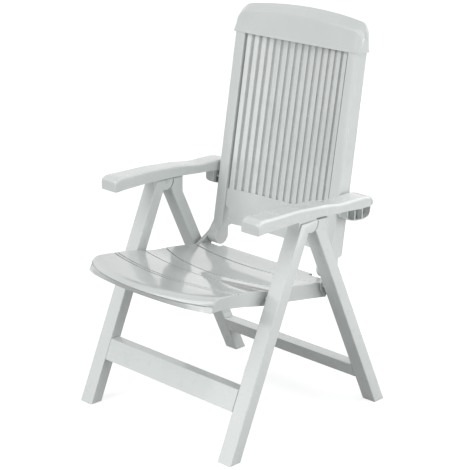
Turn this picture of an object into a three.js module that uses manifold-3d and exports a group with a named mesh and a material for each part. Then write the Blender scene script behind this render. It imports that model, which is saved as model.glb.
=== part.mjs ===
// A high-backed folding garden lounger in moulded resin.
// Millimetres. X runs across the chair, Y from front to back, Z up. The maker's side view is drawn
// with Y measured from the front edge of the front feet; the finished chair is then moved in Y so
// that the origin lies under the middle of its box, on the ground.
// Left and right are those of the person sitting in the chair: left is +X, right is -X.

import * as THREE from 'three';
import { mergeVertices } from 'three/addons/utils/BufferGeometryUtils.js';
import Module from 'manifold-3d';

const wasm = await Module();
wasm.setup();

// Driving dimensions
const GAP = 0.3;
const OVERRUN = 2;

const FRAME_WIDTH = 604;
const LEG_WIDTH = 48;
const LEG_DEPTH = 40;
const LEG_ROUND = 2.5;
const FRONT_LEAN_SHARE = 0.43;

const SEAT_REAR_HEIGHT = 395;
const PIVOT_RISE = 207;
const LEG_PIN_RADIUS = 6;
const HEAD_RISE = 6;
const CHEEK_RADIUS = 26.5;
const CHEEK_THICKNESS = 12;
const CHEEK_CLEARANCE = 0.7;
const TONGUE_RADIUS = 24;
const REAR_HEAD_WIDTH = 65;
const REAR_FACE_SETBACK = 5.4;
const LEG_PIN_END_WALL = 4;

const NECK_INSET_INNER = 4;
const NECK_INSET_OUTER = 6;
const NECK_RISE = 17;
const NECK_DEPTH = 12;
const ARM_BOSS_RADIUS = 11;
const ARM_PIN_RADIUS = 4;

const FRONT_BAR_BOTTOM = 125;
const FRONT_BAR_HEIGHT = 57;
const FRONT_BAR_DEPTH = 30;
const REAR_BAR_BOTTOM = 76;
const REAR_BAR_HEIGHT = 44;
const BAR_WALL = 7;
const TENON_LENGTH = 12;
const BAR_ROUND = 2;

const FRONT_PIN_RISE = 9;
const SEAT_PIN_DROP = 18;
const REAR_PIN_INSET = 9.7;
const SEAT_PIN_RADIUS = 5;
const SEAT_PIN_SOCKET = 13;
const SEAT_BOSS_RADIUS = 10;
const SEAT_BOSS_DEPTH = 12;
const TRACK_DEPTH = 10;
const TRACK_CLEARANCE = 0.5;
const FOLD_ANGLE = THREE.MathUtils.degToRad(45);

const SEAT_CLEARANCE = 15;
const SEAT_REAR_OVERHANG = 33.8;
const SEAT_SIDE_RISE = 55;
const SEAT_LIP_REACH = 52;
const SEAT_CREST_SETBACK = 30;
const SEAT_CREST_DROP = 8;
const SEAT_RIDGE_RISE = 37;
const SEAT_LIP_RISE = 20;
const SEAT_LIP_TUCK = 8;
const SEAT_REAR_TUCK = 19;
const SEAT_FLANGE_DROP = 47;
const SEAT_DISH = 9;
const SEAT_WALL = 5;
const SEAT_EDGE_ROUND = 5;
const GROOVE_WIDTH = 4.5;
const GROOVE_DEPTH = 2.4;

const EAR_THICKNESS = 13;
const EAR_GAP = 1;
const EAR_RADIUS = 12;
const NOTCH_SIDE_GAP = 19;
const NOTCH_FRONT_GAP = 5;

const BACK_PIVOT_SETBACK = 15;
const BACK_PIVOT_RISE = 21;
const BACK_PIN_RADIUS = 5;
const BACK_PIN_CAP = 2;
const LUG_RADIUS = 26;
const LUG_INSET = 4;

const STILE_INSET = 8;
const STILE_WIDTH = 38;
const STILE_FRONT_SHARE = 0.16;
const STILE_REAR_SHARE = 0.14;
const STILE_FRONT_SETBACK = 9.5;
const STILE_DEPTH = 49.7;
const STILE_ROUND = 3;
const STILE_FOOT_RISE = 14;
const STILE_HEEL_RISE = 30;
const BACK_TENON_LENGTH = 20;
const BACK_TENON_INSET = 9;

const PANEL_INSET = 5;
const PANEL_SAG = 18;
const PANEL_THICKNESS = 9;
const SLAT_COUNT = 15;
const SLAT_GROOVE_WIDTH = 4.4;
const SLAT_GROOVE_DEPTH = 4.5;
const SLAT_CROWN = 0.8;
const LOWER_PANEL_RISE = 41;
const LOWER_PANEL_HEIGHT = 101;
const LOWER_PANEL_SHOULDER_RISE = 50;
const LOWER_PANEL_INSET = 15;
const LOWER_PANEL_CORNER = 16;
const SLATS_HEIGHT = 450;

const CAP_OVERHANG = 5;
const CAP_HEIGHT = 92;
const CAP_FRONT_DROP = 18;
const CAP_ARCH = 17;
const CAP_CORNER = 30;
const CAP_DEPTH_SIDE = 34;
const CAP_BULGE = 14;
const CAP_LIP = 1.5;
const CAP_LIP_HEIGHT = 5;
const CAP_ROUND = 8;

const ARM_INSET = 14;
const ARM_WIDTH = 63;
const ARM_REACH = 173.5;
const ARM_TOP_RISE = 43;
const ARM_TOP_DROP = 19;
const ARM_REAR_DROP = 7;
const ARM_BOTTOM_RISE = 16;
const ARM_WALL = 4;
const ARM_ROUND = 8;
const ARM_HEM_ROUND = 1.5;
const ARM_NOSE_CORNER = 5;
const ARM_TAIL_LENGTH = 38;
const ARM_TAIL_HALF_WIDTH = 7;

const LOCK_PIN_RADIUS = 3;
const LOCK_PIN_REACH = 20;
const LOCK_PIN_SOCKET = 14;
const LOCK_PIN_DROP = 23;
const LOCK_START_ANGLE = THREE.MathUtils.degToRad(81.6);
const NOTCH_COUNT = 7;
const NOTCH_STEP = THREE.MathUtils.degToRad(4);
const NOTCH_CLEARANCE = 0.8;
const COMB_THICKNESS = 11.5;
const COMB_FRONT_MARGIN = 17;
const COMB_REAR_MARGIN = 17;
const COMB_TOP_RISE = 4;
const COMB_DROP = 57;
const COMB_TAIL = 8.5;
const RACK_WEB = 3;
const RACK_WIDTH = 34;
const RACK_PLATE = 4;
const RACK_PLATE_PITCH = 31;

// Share tables, chosen by hand: [share along the piece, share of its rise or drop]
const seatRiseShares = [[0, 0], [0.15, 0.07], [0.36, 0.29], [0.53, 0.41], [0.755, 0.77], [1, 1]];
const flangeRiseShares = [[0, 0], [0.35, 0.36], [0.555, 0.54], [0.77, 0.83], [0.92, 1], [1, 1]];
const seatGrooveShares = [
	{ middle: 0.181, side: 0.113, depth: 1.4 },
	{ middle: 0.445, side: 0.345, depth: 1 },
	{ middle: 0.567, side: 0.51, depth: 1 },
	{ middle: 0.766, side: 0.714, depth: 1 },
	{ middle: 0.79, side: 0.738, depth: 1 },
];
const armTopShares = [
	[0, 0.55], [0.012, 0.22], [0.03, 0], [0.17, 0.05], [0.33, 0.1], [0.44, 0.3], [0.56, 0.53],
	[0.645, 0.84], [0.71, 1], [0.88, 1], [0.92, 1.12], [0.955, 1.4], [0.985, 1.9], [1, 2.3],
];
const armBottomShares = [
	[0, 0.75], [0.06, 0.88], [0.22, 1], [0.39, 1], [0.52, 0.8], [0.69, 0.4], [0.77, 0.25],
	[0.86, 0], [1, 0],
];
const rackEdgeShares = [
	[0, 0.61], [0.04, 0.74], [0.14, 0.86], [0.31, 0.94], [0.48, 0.98], [0.65, 1], [0.82, 0.98],
	[0.92, 0.91], [0.985, 0.74], [1, 0.5], [0.96, 0.26],
];

// Places that follow from the driving dimensions
const LEG_OUTER_X = FRAME_WIDTH / 2;
const LEG_INNER_X = LEG_OUTER_X - LEG_WIDTH;
const ARM_INNER_X = LEG_INNER_X - ARM_INSET;
const ARM_OUTER_X = ARM_INNER_X + ARM_WIDTH;
const SEAT_HALF_WIDTH = LEG_INNER_X - SEAT_CLEARANCE;
const STILE_OUTER_X = SEAT_HALF_WIDTH - STILE_INSET;
const STILE_INNER_X = STILE_OUTER_X - STILE_WIDTH;
const LOWER_PANEL_HALF_WIDTH = STILE_INNER_X - LOWER_PANEL_INSET;
const CAP_HALF_WIDTH = STILE_OUTER_X + CAP_OVERHANG;
const PIVOT_HEIGHT = SEAT_REAR_HEIGHT + PIVOT_RISE;
const HEAD_TOP = PIVOT_HEIGHT + HEAD_RISE;
const FRONT_PIN_HEIGHT = SEAT_REAR_HEIGHT + FRONT_PIN_RISE;
const SEAT_RIDGE_HEIGHT = SEAT_REAR_HEIGHT + SEAT_RIDGE_RISE;
const SEAT_LIP_BOTTOM = SEAT_REAR_HEIGHT + SEAT_LIP_RISE;
const ARM_TOP = HEAD_TOP + ARM_TOP_RISE;
const ARM_REAR_BOTTOM = HEAD_TOP - ARM_REAR_DROP;
const COMB_TOP = HEAD_TOP + COMB_TOP_RISE;
const ARC_STEPS = 8;
const ROUND_SIDES = 20;
const RIM_STEPS = 1;

const frontLegFace = (z) => FRONT_LEAN_SHARE * z;
const point = (y, z) => new THREE.Vector2(y, z);
const polar = (centre, radius, angle) =>
	point(centre.x + radius * Math.cos(angle), centre.y + radius * Math.sin(angle));

const LEG_PIVOT = point(frontLegFace(PIVOT_HEIGHT) + LEG_DEPTH, PIVOT_HEIGHT);
const SEAT_FRONT_PIVOT = point(frontLegFace(FRONT_PIN_HEIGHT) + LEG_DEPTH / 2, FRONT_PIN_HEIGHT);
const LINK = LEG_PIVOT.distanceTo(SEAT_FRONT_PIVOT);
const SEAT_REAR_PIVOT = point(
	SEAT_FRONT_PIVOT.x + Math.sqrt(LINK * LINK - SEAT_PIN_DROP * SEAT_PIN_DROP),
	FRONT_PIN_HEIGHT - SEAT_PIN_DROP,
);
const SEAT_REAR_Y = SEAT_REAR_PIVOT.x + SEAT_REAR_OVERHANG;
const BACK_PIVOT = point(SEAT_REAR_Y + BACK_PIVOT_SETBACK, SEAT_REAR_HEIGHT + BACK_PIVOT_RISE);
const ARM_PIVOT = point(frontLegFace(HEAD_TOP) + NECK_DEPTH / 2, HEAD_TOP + NECK_RISE);

// The rear legs' front faces pass just behind the leg pivots and in front of the seat's rear pins.
const REAR_LEAN_SHARE = (SEAT_REAR_PIVOT.x - REAR_PIN_INSET - LEG_PIVOT.x - REAR_FACE_SETBACK)
	/ (PIVOT_HEIGHT - SEAT_REAR_PIVOT.y);
const BASE_DEPTH = LEG_PIVOT.x + REAR_FACE_SETBACK + REAR_LEAN_SHARE * PIVOT_HEIGHT + LEG_DEPTH;
const rearLegFace = (z) => BASE_DEPTH - LEG_DEPTH - REAR_LEAN_SHARE * z;
const PLAN_CENTRE_Y = (BASE_DEPTH - SEAT_LIP_REACH) / 2;

const stileFront = (z) => BACK_PIVOT.x - STILE_FRONT_SETBACK + STILE_FRONT_SHARE * (z - BACK_PIVOT.y);
const stileRear = (z) =>
	BACK_PIVOT.x - STILE_FRONT_SETBACK + STILE_DEPTH + STILE_REAR_SHARE * (z - BACK_PIVOT.y);
const STILE_FOOT_HEIGHT = BACK_PIVOT.y + STILE_FOOT_RISE;
const STILE_HEEL_HEIGHT = BACK_PIVOT.y + STILE_HEEL_RISE;
const LOWER_PANEL_BOTTOM = BACK_PIVOT.y + LOWER_PANEL_RISE;
const LOWER_PANEL_SHOULDER = LOWER_PANEL_BOTTOM + LOWER_PANEL_SHOULDER_RISE;
const SLATS_BOTTOM = LOWER_PANEL_BOTTOM + LOWER_PANEL_HEIGHT;
const CAP_BOTTOM = SLATS_BOTTOM + SLATS_HEIGHT;

const LOCK_ARM = (HEAD_TOP - LOCK_PIN_DROP - BACK_PIVOT.y) / Math.sin(LOCK_START_ANGLE);
const lockPinAt = (notch) => polar(BACK_PIVOT, LOCK_ARM, LOCK_START_ANGLE - notch * NOTCH_STEP);
const RACK_FRONT = lockPinAt(0).x - COMB_FRONT_MARGIN;
const RACK_REAR = lockPinAt(NOTCH_COUNT - 1).x + COMB_REAR_MARGIN;
const ARM_FRONT_Y = ARM_PIVOT.x - ARM_REACH;
const ARM_LENGTH = RACK_REAR - COMB_TAIL - ARM_FRONT_Y;

const TRACK_ANGLE = SEAT_REAR_PIVOT.clone().sub(LEG_PIVOT).angle();
const TRACK_START = LEG_PIVOT.distanceTo(SEAT_REAR_PIVOT);
const TRACK_END = 2 * LINK * Math.cos(Math.acos(TRACK_START / (2 * LINK)) - FOLD_ANGLE);

// Solid-making helpers

function toSolid(geometry) {
	const bare = geometry.clone();
	bare.deleteAttribute('normal');
	bare.deleteAttribute('uv');
	const merged = mergeVertices(bare);
	return new wasm.Manifold(new wasm.Mesh({
		numProp: 3,
		vertProperties: new Float32Array(merged.attributes.position.array),
		triVerts: new Uint32Array(merged.index.array),
	}));
}

function toGeometry(solid) {
	const mesh = solid.getMesh();
	const geometry = new THREE.BufferGeometry();
	geometry.setAttribute('position', new THREE.BufferAttribute(new Float32Array(mesh.vertProperties), 3));
	geometry.setIndex(new THREE.BufferAttribute(new Uint32Array(mesh.triVerts), 1));
	geometry.computeVertexNormals();
	return geometry;
}

// Sections stand square to one axis, in order along it, each with its points anticlockwise.
const layings = {
	x: (at, a, b) => [at, a, b],
	y: (at, a, b) => [b, at, a],
	z: (at, a, b) => [a, b, at],
};

function loft(axis, sections) {
	const count = sections[0].outline.length;
	const positions = sections.flatMap(
		({ at, outline }) => outline.flatMap((spot) => layings[axis](at, spot.x, spot.y)),
	);
	const index = [];
	for (let s = 0; s < sections.length - 1; s += 1) {
		for (let k = 0; k < count; k += 1) {
			const a = s * count + k;
			const b = s * count + (k + 1) % count;
			index.push(a, b, b + count, a, b + count, a + count);
		}
	}
	const last = (sections.length - 1) * count;
	const firstFaces = THREE.ShapeUtils.triangulateShape(sections[0].outline, []);
	firstFaces.forEach(([i, j, k]) => index.push(k, j, i));
	const lastFaces = THREE.ShapeUtils.triangulateShape(sections.at(-1).outline, []);
	lastFaces.forEach(([i, j, k]) => index.push(last + i, last + j, last + k));
	const geometry = new THREE.BufferGeometry();
	geometry.setAttribute('position', new THREE.Float32BufferAttribute(positions, 3));
	geometry.setIndex(index);
	return toSolid(geometry);
}

// A side outline in Y and Z, pushed across the chair from x0 to x1, with its rims rounded.
function slab(shape, x0, x1, rounding = 0) {
	const geometry = new THREE.ExtrudeGeometry(shape, {
		depth: x1 - x0 - 2 * rounding,
		bevelEnabled: rounding > 0,
		bevelThickness: rounding,
		bevelSize: rounding,
		bevelOffset: -rounding,
		bevelSegments: RIM_STEPS,
		curveSegments: ARC_STEPS,
	});
	geometry.translate(0, 0, x0 + rounding);
	geometry.applyMatrix4(new THREE.Matrix4().makeBasis(
		new THREE.Vector3(0, 1, 0),
		new THREE.Vector3(0, 0, 1),
		new THREE.Vector3(1, 0, 0),
	));
	return toSolid(geometry);
}

function rod(centre, radius, x0, x1) {
	const geometry = new THREE.CylinderGeometry(radius, radius, x1 - x0, ROUND_SIDES);
	geometry.rotateZ(Math.PI / 2);
	geometry.translate((x0 + x1) / 2, centre.x, centre.y);
	return toSolid(geometry);
}

function block(x0, x1, y0, y1, z0, z1) {
	const geometry = new THREE.BoxGeometry(x1 - x0, y1 - y0, z1 - z0);
	geometry.translate((x0 + x1) / 2, (y0 + y1) / 2, (z0 + z1) / 2);
	return toSolid(geometry);
}

const shapeOf = (spots) => new THREE.Shape(spots);

// A height read off a table of shares, along a smooth curve or along straight runs.
function readShares(table, share) {
	const next = table.findIndex(([along]) => along >= share);
	if (next === -1) return table.at(-1)[1];
	if (next === 0) return table[0][1];
	const [along0, value0] = table[next - 1];
	const [along1, value1] = table[next];
	return value0 + (value1 - value0) * (share - along0) / (along1 - along0);
}

function smoothShares(table) {
	const curve = new THREE.SplineCurve(table.map(([along, value]) => new THREE.Vector2(along, value)));
	const dense = curve.getPoints(table.length * ARC_STEPS).map((spot) => [spot.x, spot.y]);
	return (share) => readShares(dense, share);
}

// The height of a quarter circle of radius 1, from 1 at its middle to 0 at its end.
const quarter = (share) => Math.sqrt(Math.max(0, 1 - share * share));

const steps = (count) => Array.from({ length: count + 1 }, (_, i) => i / count);

// Front legs

function barOutline(bottom, height, face, depth, inset) {
	const low = bottom + inset;
	const high = bottom + height - inset;
	return shapeOf([
		point(face(low) + inset, low),
		point(face(low) + depth - inset, low),
		point(face(high) + depth - inset, high),
		point(face(high) + inset, high),
	]);
}

const frontBarOutline = (inset) =>
	barOutline(FRONT_BAR_BOTTOM, FRONT_BAR_HEIGHT, frontLegFace, FRONT_BAR_DEPTH, inset);
const rearBarOutline = (inset) =>
	barOutline(REAR_BAR_BOTTOM, REAR_BAR_HEIGHT, rearLegFace, LEG_DEPTH, inset);

function frontLeg() {
	const downLeg = Math.atan2(-1, -FRONT_LEAN_SHARE);
	const headCut = Math.asin((HEAD_TOP - PIVOT_HEIGHT) / CHEEK_RADIUS);
	const outline = new THREE.Shape();
	outline.moveTo(0, 0);
	outline.lineTo(LEG_DEPTH, 0);
	outline.absarc(LEG_PIVOT.x, LEG_PIVOT.y, CHEEK_RADIUS, downLeg, headCut, false);
	outline.lineTo(frontLegFace(HEAD_TOP), HEAD_TOP);

	const neckFoot = PIVOT_HEIGHT - TONGUE_RADIUS / 2;
	const neck = new THREE.Shape();
	neck.moveTo(frontLegFace(neckFoot), neckFoot);
	neck.lineTo(LEG_PIVOT.x + TONGUE_RADIUS / 2, neckFoot);
	neck.absarc(LEG_PIVOT.x, LEG_PIVOT.y, CHEEK_RADIUS, 0, Math.PI * 5 / 12, false);
	neck.absarc(ARM_PIVOT.x, ARM_PIVOT.y, NECK_DEPTH, Math.PI / 3, Math.PI, false);

	const forkInner = LEG_INNER_X + CHEEK_THICKNESS;
	const forkOuter = LEG_OUTER_X - CHEEK_THICKNESS;
	return slab(outline, LEG_INNER_X, LEG_OUTER_X, LEG_ROUND)
		.add(slab(neck, LEG_INNER_X + NECK_INSET_INNER, LEG_OUTER_X - NECK_INSET_OUTER))
		.subtract(rod(LEG_PIVOT, CHEEK_RADIUS + CHEEK_CLEARANCE, forkInner, forkOuter))
		.subtract(rod(
			LEG_PIVOT, LEG_PIN_RADIUS + GAP,
			LEG_INNER_X - OVERRUN, LEG_OUTER_X - LEG_PIN_END_WALL,
		))
		.subtract(rod(ARM_PIVOT, ARM_PIN_RADIUS + GAP, LEG_INNER_X - OVERRUN, LEG_OUTER_X + OVERRUN))
		.subtract(rod(
			SEAT_FRONT_PIVOT, SEAT_PIN_RADIUS + GAP,
			LEG_INNER_X - OVERRUN, LEG_INNER_X + SEAT_PIN_SOCKET + GAP,
		))
		.subtract(slab(
			frontBarOutline(BAR_WALL - GAP), LEG_INNER_X - OVERRUN, LEG_INNER_X + TENON_LENGTH + GAP,
		));
}

function crossbar(outlineAt) {
	const reach = LEG_INNER_X + TENON_LENGTH;
	return slab(outlineAt(0), GAP - LEG_INNER_X, LEG_INNER_X - GAP, BAR_ROUND)
		.add(slab(outlineAt(BAR_WALL), -reach, reach));
}

// Rear legs

function rearLeg() {
	const clear = CHEEK_RADIUS + CHEEK_CLEARANCE;
	const backY = LEG_PIVOT.x + REAR_HEAD_WIDTH;
	const backZ = (BASE_DEPTH - backY) / REAR_LEAN_SHARE;
	const headTop = HEAD_TOP - GAP;
	const outline = shapeOf([
		point(rearLegFace(0), 0),
		point(BASE_DEPTH, 0),
		point(backY, backZ),
		point(backY, headTop),
		point(rearLegFace(headTop), headTop),
	]);

	const bridgeReach = clear + LEG_ROUND + CHEEK_CLEARANCE;
	const bridge = new THREE.Shape();
	bridge.moveTo(LEG_PIVOT.x, LEG_PIVOT.y);
	bridge.lineTo(LEG_PIVOT.x + bridgeReach / Math.SQRT2, LEG_PIVOT.y - bridgeReach / Math.SQRT2);
	bridge.absarc(LEG_PIVOT.x, LEG_PIVOT.y, bridgeReach, -Math.PI / 4, Math.PI / 30, false);
	const tongueInner = LEG_INNER_X + CHEEK_THICKNESS + GAP;
	const tongueOuter = LEG_OUTER_X - CHEEK_THICKNESS - GAP;

	const trackWidth = SEAT_PIN_RADIUS + TRACK_CLEARANCE;
	const track = new THREE.Shape();
	const near = polar(LEG_PIVOT, TRACK_START, TRACK_ANGLE);
	const far = polar(LEG_PIVOT, TRACK_END, TRACK_ANGLE);
	track.absarc(near.x, near.y, trackWidth, TRACK_ANGLE + Math.PI / 2, TRACK_ANGLE + Math.PI * 3 / 2, false);
	track.absarc(far.x, far.y, trackWidth, TRACK_ANGLE - Math.PI / 2, TRACK_ANGLE + Math.PI / 2, false);

	return slab(outline, LEG_INNER_X, LEG_OUTER_X, LEG_ROUND)
		.subtract(rod(LEG_PIVOT, clear, LEG_INNER_X - OVERRUN, LEG_OUTER_X + OVERRUN))
		.add(slab(bridge, tongueInner, tongueOuter))
		.add(rod(LEG_PIVOT, TONGUE_RADIUS, tongueInner, tongueOuter))
		.subtract(rod(LEG_PIVOT, LEG_PIN_RADIUS + GAP, LEG_INNER_X, LEG_OUTER_X))
		.subtract(slab(track, LEG_INNER_X - OVERRUN, LEG_INNER_X + TRACK_DEPTH))
		.subtract(slab(
			rearBarOutline(BAR_WALL - GAP), LEG_INNER_X - OVERRUN, LEG_INNER_X + TENON_LENGTH + GAP,
		));
}

// Seat

const seatRise = smoothShares(seatRiseShares);
const lipFront = (across) => SEAT_LIP_REACH * (Math.pow(across, 2) * 0.8 + Math.pow(across, 8) * 0.2 - 1);
const flangeBottom = (y) => {
	const rearBottom = SEAT_REAR_HEIGHT - SEAT_FLANGE_DROP;
	const share = (SEAT_REAR_Y - SEAT_REAR_TUCK - y) / (SEAT_REAR_Y - SEAT_REAR_TUCK);
	return rearBottom + (SEAT_LIP_BOTTOM - rearBottom) * readShares(flangeRiseShares, Math.max(0, share));
};

function seatTop(y, across) {
	const share = (SEAT_REAR_Y - y) / (SEAT_REAR_Y - SEAT_CREST_SETBACK);
	const side = SEAT_REAR_HEIGHT + SEAT_SIDE_RISE * seatRise(Math.min(1, share));
	const dish = SEAT_DISH * Math.sin(Math.PI * Math.min(1, Math.max(0, share * 0.9)));
	const middle = 1 - across * across;
	const crestDrop = SEAT_CREST_DROP * middle * Math.pow(Math.min(1, share), 4);
	const rim = Math.max(0, (across - 1) * SEAT_HALF_WIDTH / SEAT_EDGE_ROUND + 1);
	return side - dish * middle - crestDrop - SEAT_EDGE_ROUND * (1 - quarter(rim)) / 2;
}

// One section of the seat at a share of its half width, from the lip's foot round to the lip again.
function seatOutline(across, inset, drop, grooved) {
	const lip = lipFront(across);
	const rearTop = SEAT_REAR_Y - inset;
	const crestY = lip + SEAT_CREST_SETBACK;
	const footY = lip + SEAT_LIP_TUCK - (SEAT_LIP_TUCK + SEAT_CREST_SETBACK / 3) * across * across + inset;
	const spots = steps(5).map((share) => {
		const y = footY + (SEAT_REAR_Y - SEAT_REAR_TUCK - inset - footY) * share;
		return point(y, flangeBottom(y) - drop);
	});
	const runTo = (fromY, toY, count) => steps(count).slice(1)
		.map((share) => fromY + (toY - fromY) * share)
		.forEach((y) => spots.push(point(y, seatTop(y, across) - inset)));
	spots.push(point(rearTop, seatTop(rearTop, across) - inset));
	let fromY = rearTop;
	if (grooved) {
		seatGrooveShares.forEach(({ middle, side, depth }) => {
			const share = middle + (side - middle) * across * across;
			const centreY = SEAT_REAR_Y - share * (SEAT_REAR_Y + SEAT_LIP_REACH);
			const rearEdge = centreY + GROOVE_WIDTH / 2;
			const frontEdge = centreY - GROOVE_WIDTH / 2;
			runTo(fromY, rearEdge, 2);
			[rearEdge - GROOVE_WIDTH / 4, frontEdge + GROOVE_WIDTH / 4].forEach((y) => {
				spots.push(point(y, seatTop(y, across) - depth * GROOVE_DEPTH));
			});
			spots.push(point(frontEdge, seatTop(frontEdge, across)));
			fromY = frontEdge;
		});
	}
	runTo(fromY, crestY + inset / 2, grooved ? 2 : 8);
	const crest = spots.at(-1);
	const ridge = point(lip + inset, SEAT_RIDGE_HEIGHT - inset / 2);
	const nose = new THREE.QuadraticBezierCurve(crest, point(lip + inset + SEAT_LIP_TUCK / 2, crest.y), ridge);
	nose.getPoints(4).slice(1).forEach((spot) => spots.push(spot));
	if (drop > 0) spots.push(point(footY, SEAT_LIP_BOTTOM));
	return spots;
}

function seatSections(halfWidth, inset, drop, grooved) {
	const half = [0, 0.2, 0.38, 0.54, 0.69, 0.82, 0.91, 0.96, 0.98, 0.992, 1];
	const shares = [...half.slice(1).reverse().map((share) => -share), ...half];
	return shares.map((share) => ({
		at: share * halfWidth,
		outline: seatOutline(Math.abs(share) * halfWidth / SEAT_HALF_WIDTH, inset, drop, grooved),
	}));
}

function seatPanel() {
	const earInner = STILE_OUTER_X + EAR_GAP;
	const earBaseLow = SEAT_REAR_Y - SEAT_REAR_TUCK - SEAT_WALL;
	const earBaseHigh = SEAT_REAR_PIVOT.x - SEAT_BOSS_RADIUS;
	const ear = new THREE.Shape();
	ear.moveTo(earBaseHigh, SEAT_REAR_PIVOT.y - SEAT_BOSS_RADIUS);
	ear.lineTo(earBaseLow, flangeBottom(earBaseLow) + GAP);
	ear.absarc(BACK_PIVOT.x, BACK_PIVOT.y, EAR_RADIUS, -Math.PI / 3, Math.PI * 3 / 5, false);
	ear.lineTo(earBaseHigh, seatTop(earBaseHigh, 1) - GAP);

	let panel = loft('x', seatSections(SEAT_HALF_WIDTH, 0, 0, true)).subtract(
		loft('x', seatSections(SEAT_HALF_WIDTH - SEAT_WALL, SEAT_WALL, SEAT_FLANGE_DROP, false)),
	);
	[1, -1].forEach((side) => {
		const between = (near, far) => [Math.min(side * near, side * far), Math.max(side * near, side * far)];
		const notch = between(STILE_INNER_X - NOTCH_SIDE_GAP, earInner);
		const notchFront = BACK_PIVOT.x - LUG_RADIUS - NOTCH_FRONT_GAP;
		panel = panel
			.subtract(block(
				...notch, notchFront, SEAT_REAR_Y + SEAT_REAR_TUCK,
				SEAT_REAR_HEIGHT - 2 * SEAT_FLANGE_DROP, SEAT_REAR_HEIGHT + SEAT_FLANGE_DROP,
			))
			.add(slab(ear, ...between(earInner, earInner + EAR_THICKNESS)));
		[SEAT_FRONT_PIVOT, SEAT_REAR_PIVOT].forEach((spot) => {
			const bossInner = SEAT_HALF_WIDTH - SEAT_BOSS_DEPTH;
			panel = panel
				.add(rod(spot, SEAT_BOSS_RADIUS, ...between(bossInner, SEAT_HALF_WIDTH - GAP)))
				.subtract(rod(
					spot, SEAT_PIN_RADIUS + GAP,
					...between(bossInner + SEAT_WALL / 2, earInner + EAR_THICKNESS + OVERRUN),
				));
		});
		panel = panel.subtract(rod(
			BACK_PIVOT, BACK_PIN_RADIUS + GAP,
			...between(earInner - OVERRUN, earInner + EAR_THICKNESS - BACK_PIN_CAP),
		));
	});
	return panel;
}

// Backrest

const backTop = CAP_BOTTOM - GAP;

function stile() {
	const frontFoot = point(stileFront(STILE_FOOT_HEIGHT), STILE_FOOT_HEIGHT);
	const outline = shapeOf([
		frontFoot,
		point(stileRear(STILE_HEEL_HEIGHT), STILE_HEEL_HEIGHT),
		point(stileRear(backTop), backTop),
		point(stileFront(backTop), backTop),
	]);
	const lugTop = STILE_HEEL_HEIGHT + LUG_RADIUS / 2;
	const lug = new THREE.Shape();
	lug.absarc(BACK_PIVOT.x, BACK_PIVOT.y, LUG_RADIUS, Math.PI * 5 / 6, Math.PI * 2, false);
	lug.lineTo(BACK_PIVOT.x + LUG_RADIUS, lugTop);
	lug.lineTo(stileFront(lugTop) + STILE_ROUND, lugTop);
	const tenon = shapeOf([
		point(stileFront(backTop) + BACK_TENON_INSET, backTop - OVERRUN),
		point(stileRear(backTop) - BACK_TENON_INSET, backTop - OVERRUN),
		point(stileRear(backTop) - BACK_TENON_INSET, backTop + BACK_TENON_LENGTH),
		point(stileFront(backTop) + BACK_TENON_INSET, backTop + BACK_TENON_LENGTH),
	]);
	return slab(outline, STILE_INNER_X, STILE_OUTER_X, STILE_ROUND)
		.add(slab(lug, STILE_INNER_X + LUG_INSET, STILE_OUTER_X))
		.add(slab(tenon, STILE_INNER_X + BACK_TENON_INSET, STILE_OUTER_X - BACK_TENON_INSET))
		.subtract(rod(
			BACK_PIVOT, BACK_PIN_RADIUS + GAP,
			STILE_INNER_X + LUG_INSET + BACK_PIN_CAP, STILE_OUTER_X + OVERRUN,
		))
		.subtract(rod(
			lockPinAt(0), LOCK_PIN_RADIUS + GAP,
			STILE_OUTER_X - LOCK_PIN_SOCKET - GAP, STILE_OUTER_X + OVERRUN,
		));
}

// The panel's plan outline, hollow to the front; grooves part the slats on its face.
function panelPlan(halfWidth, grooved) {
	const pitch = 2 * halfWidth / SLAT_COUNT;
	const hollow = (x) => PANEL_INSET + PANEL_SAG * (1 - (x / halfWidth) ** 2);
	const spots = [];
	for (let i = 0; i < SLAT_COUNT; i += 1) {
		const start = i * pitch - halfWidth + (grooved ? SLAT_GROOVE_WIDTH / 2 : 0);
		const width = pitch - (grooved ? SLAT_GROOVE_WIDTH : 0);
		const rootWidth = SLAT_GROOVE_WIDTH / 4;
		if (grooved) spots.push(point(start - rootWidth, hollow(start) + SLAT_GROOVE_DEPTH));
		steps(2).forEach((share) => {
			const x = start + share * width;
			spots.push(point(x, hollow(x) - (grooved ? SLAT_CROWN * Math.sin(Math.PI * share) : 0)));
		});
		if (grooved) spots.push(point(start + width + rootWidth, hollow(start + width) + SLAT_GROOVE_DEPTH));
	}
	steps(SLAT_COUNT).reverse().forEach((share) => {
		const x = (2 * share - 1) * halfWidth;
		spots.push(point(x, hollow(x) + PANEL_THICKNESS));
	});
	return spots.filter((spot, i) => i === 0 || spot.distanceTo(spots[i - 1]) > GAP / 2);
}

function panelSheet(bottom, top, grooved) {
	const plan = panelPlan(STILE_INNER_X - GAP, grooved);
	return loft('z', [bottom, top].map((at) => ({
		at,
		outline: plan.map((spot) => point(spot.x, spot.y + stileFront(at))),
	})));
}

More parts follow.
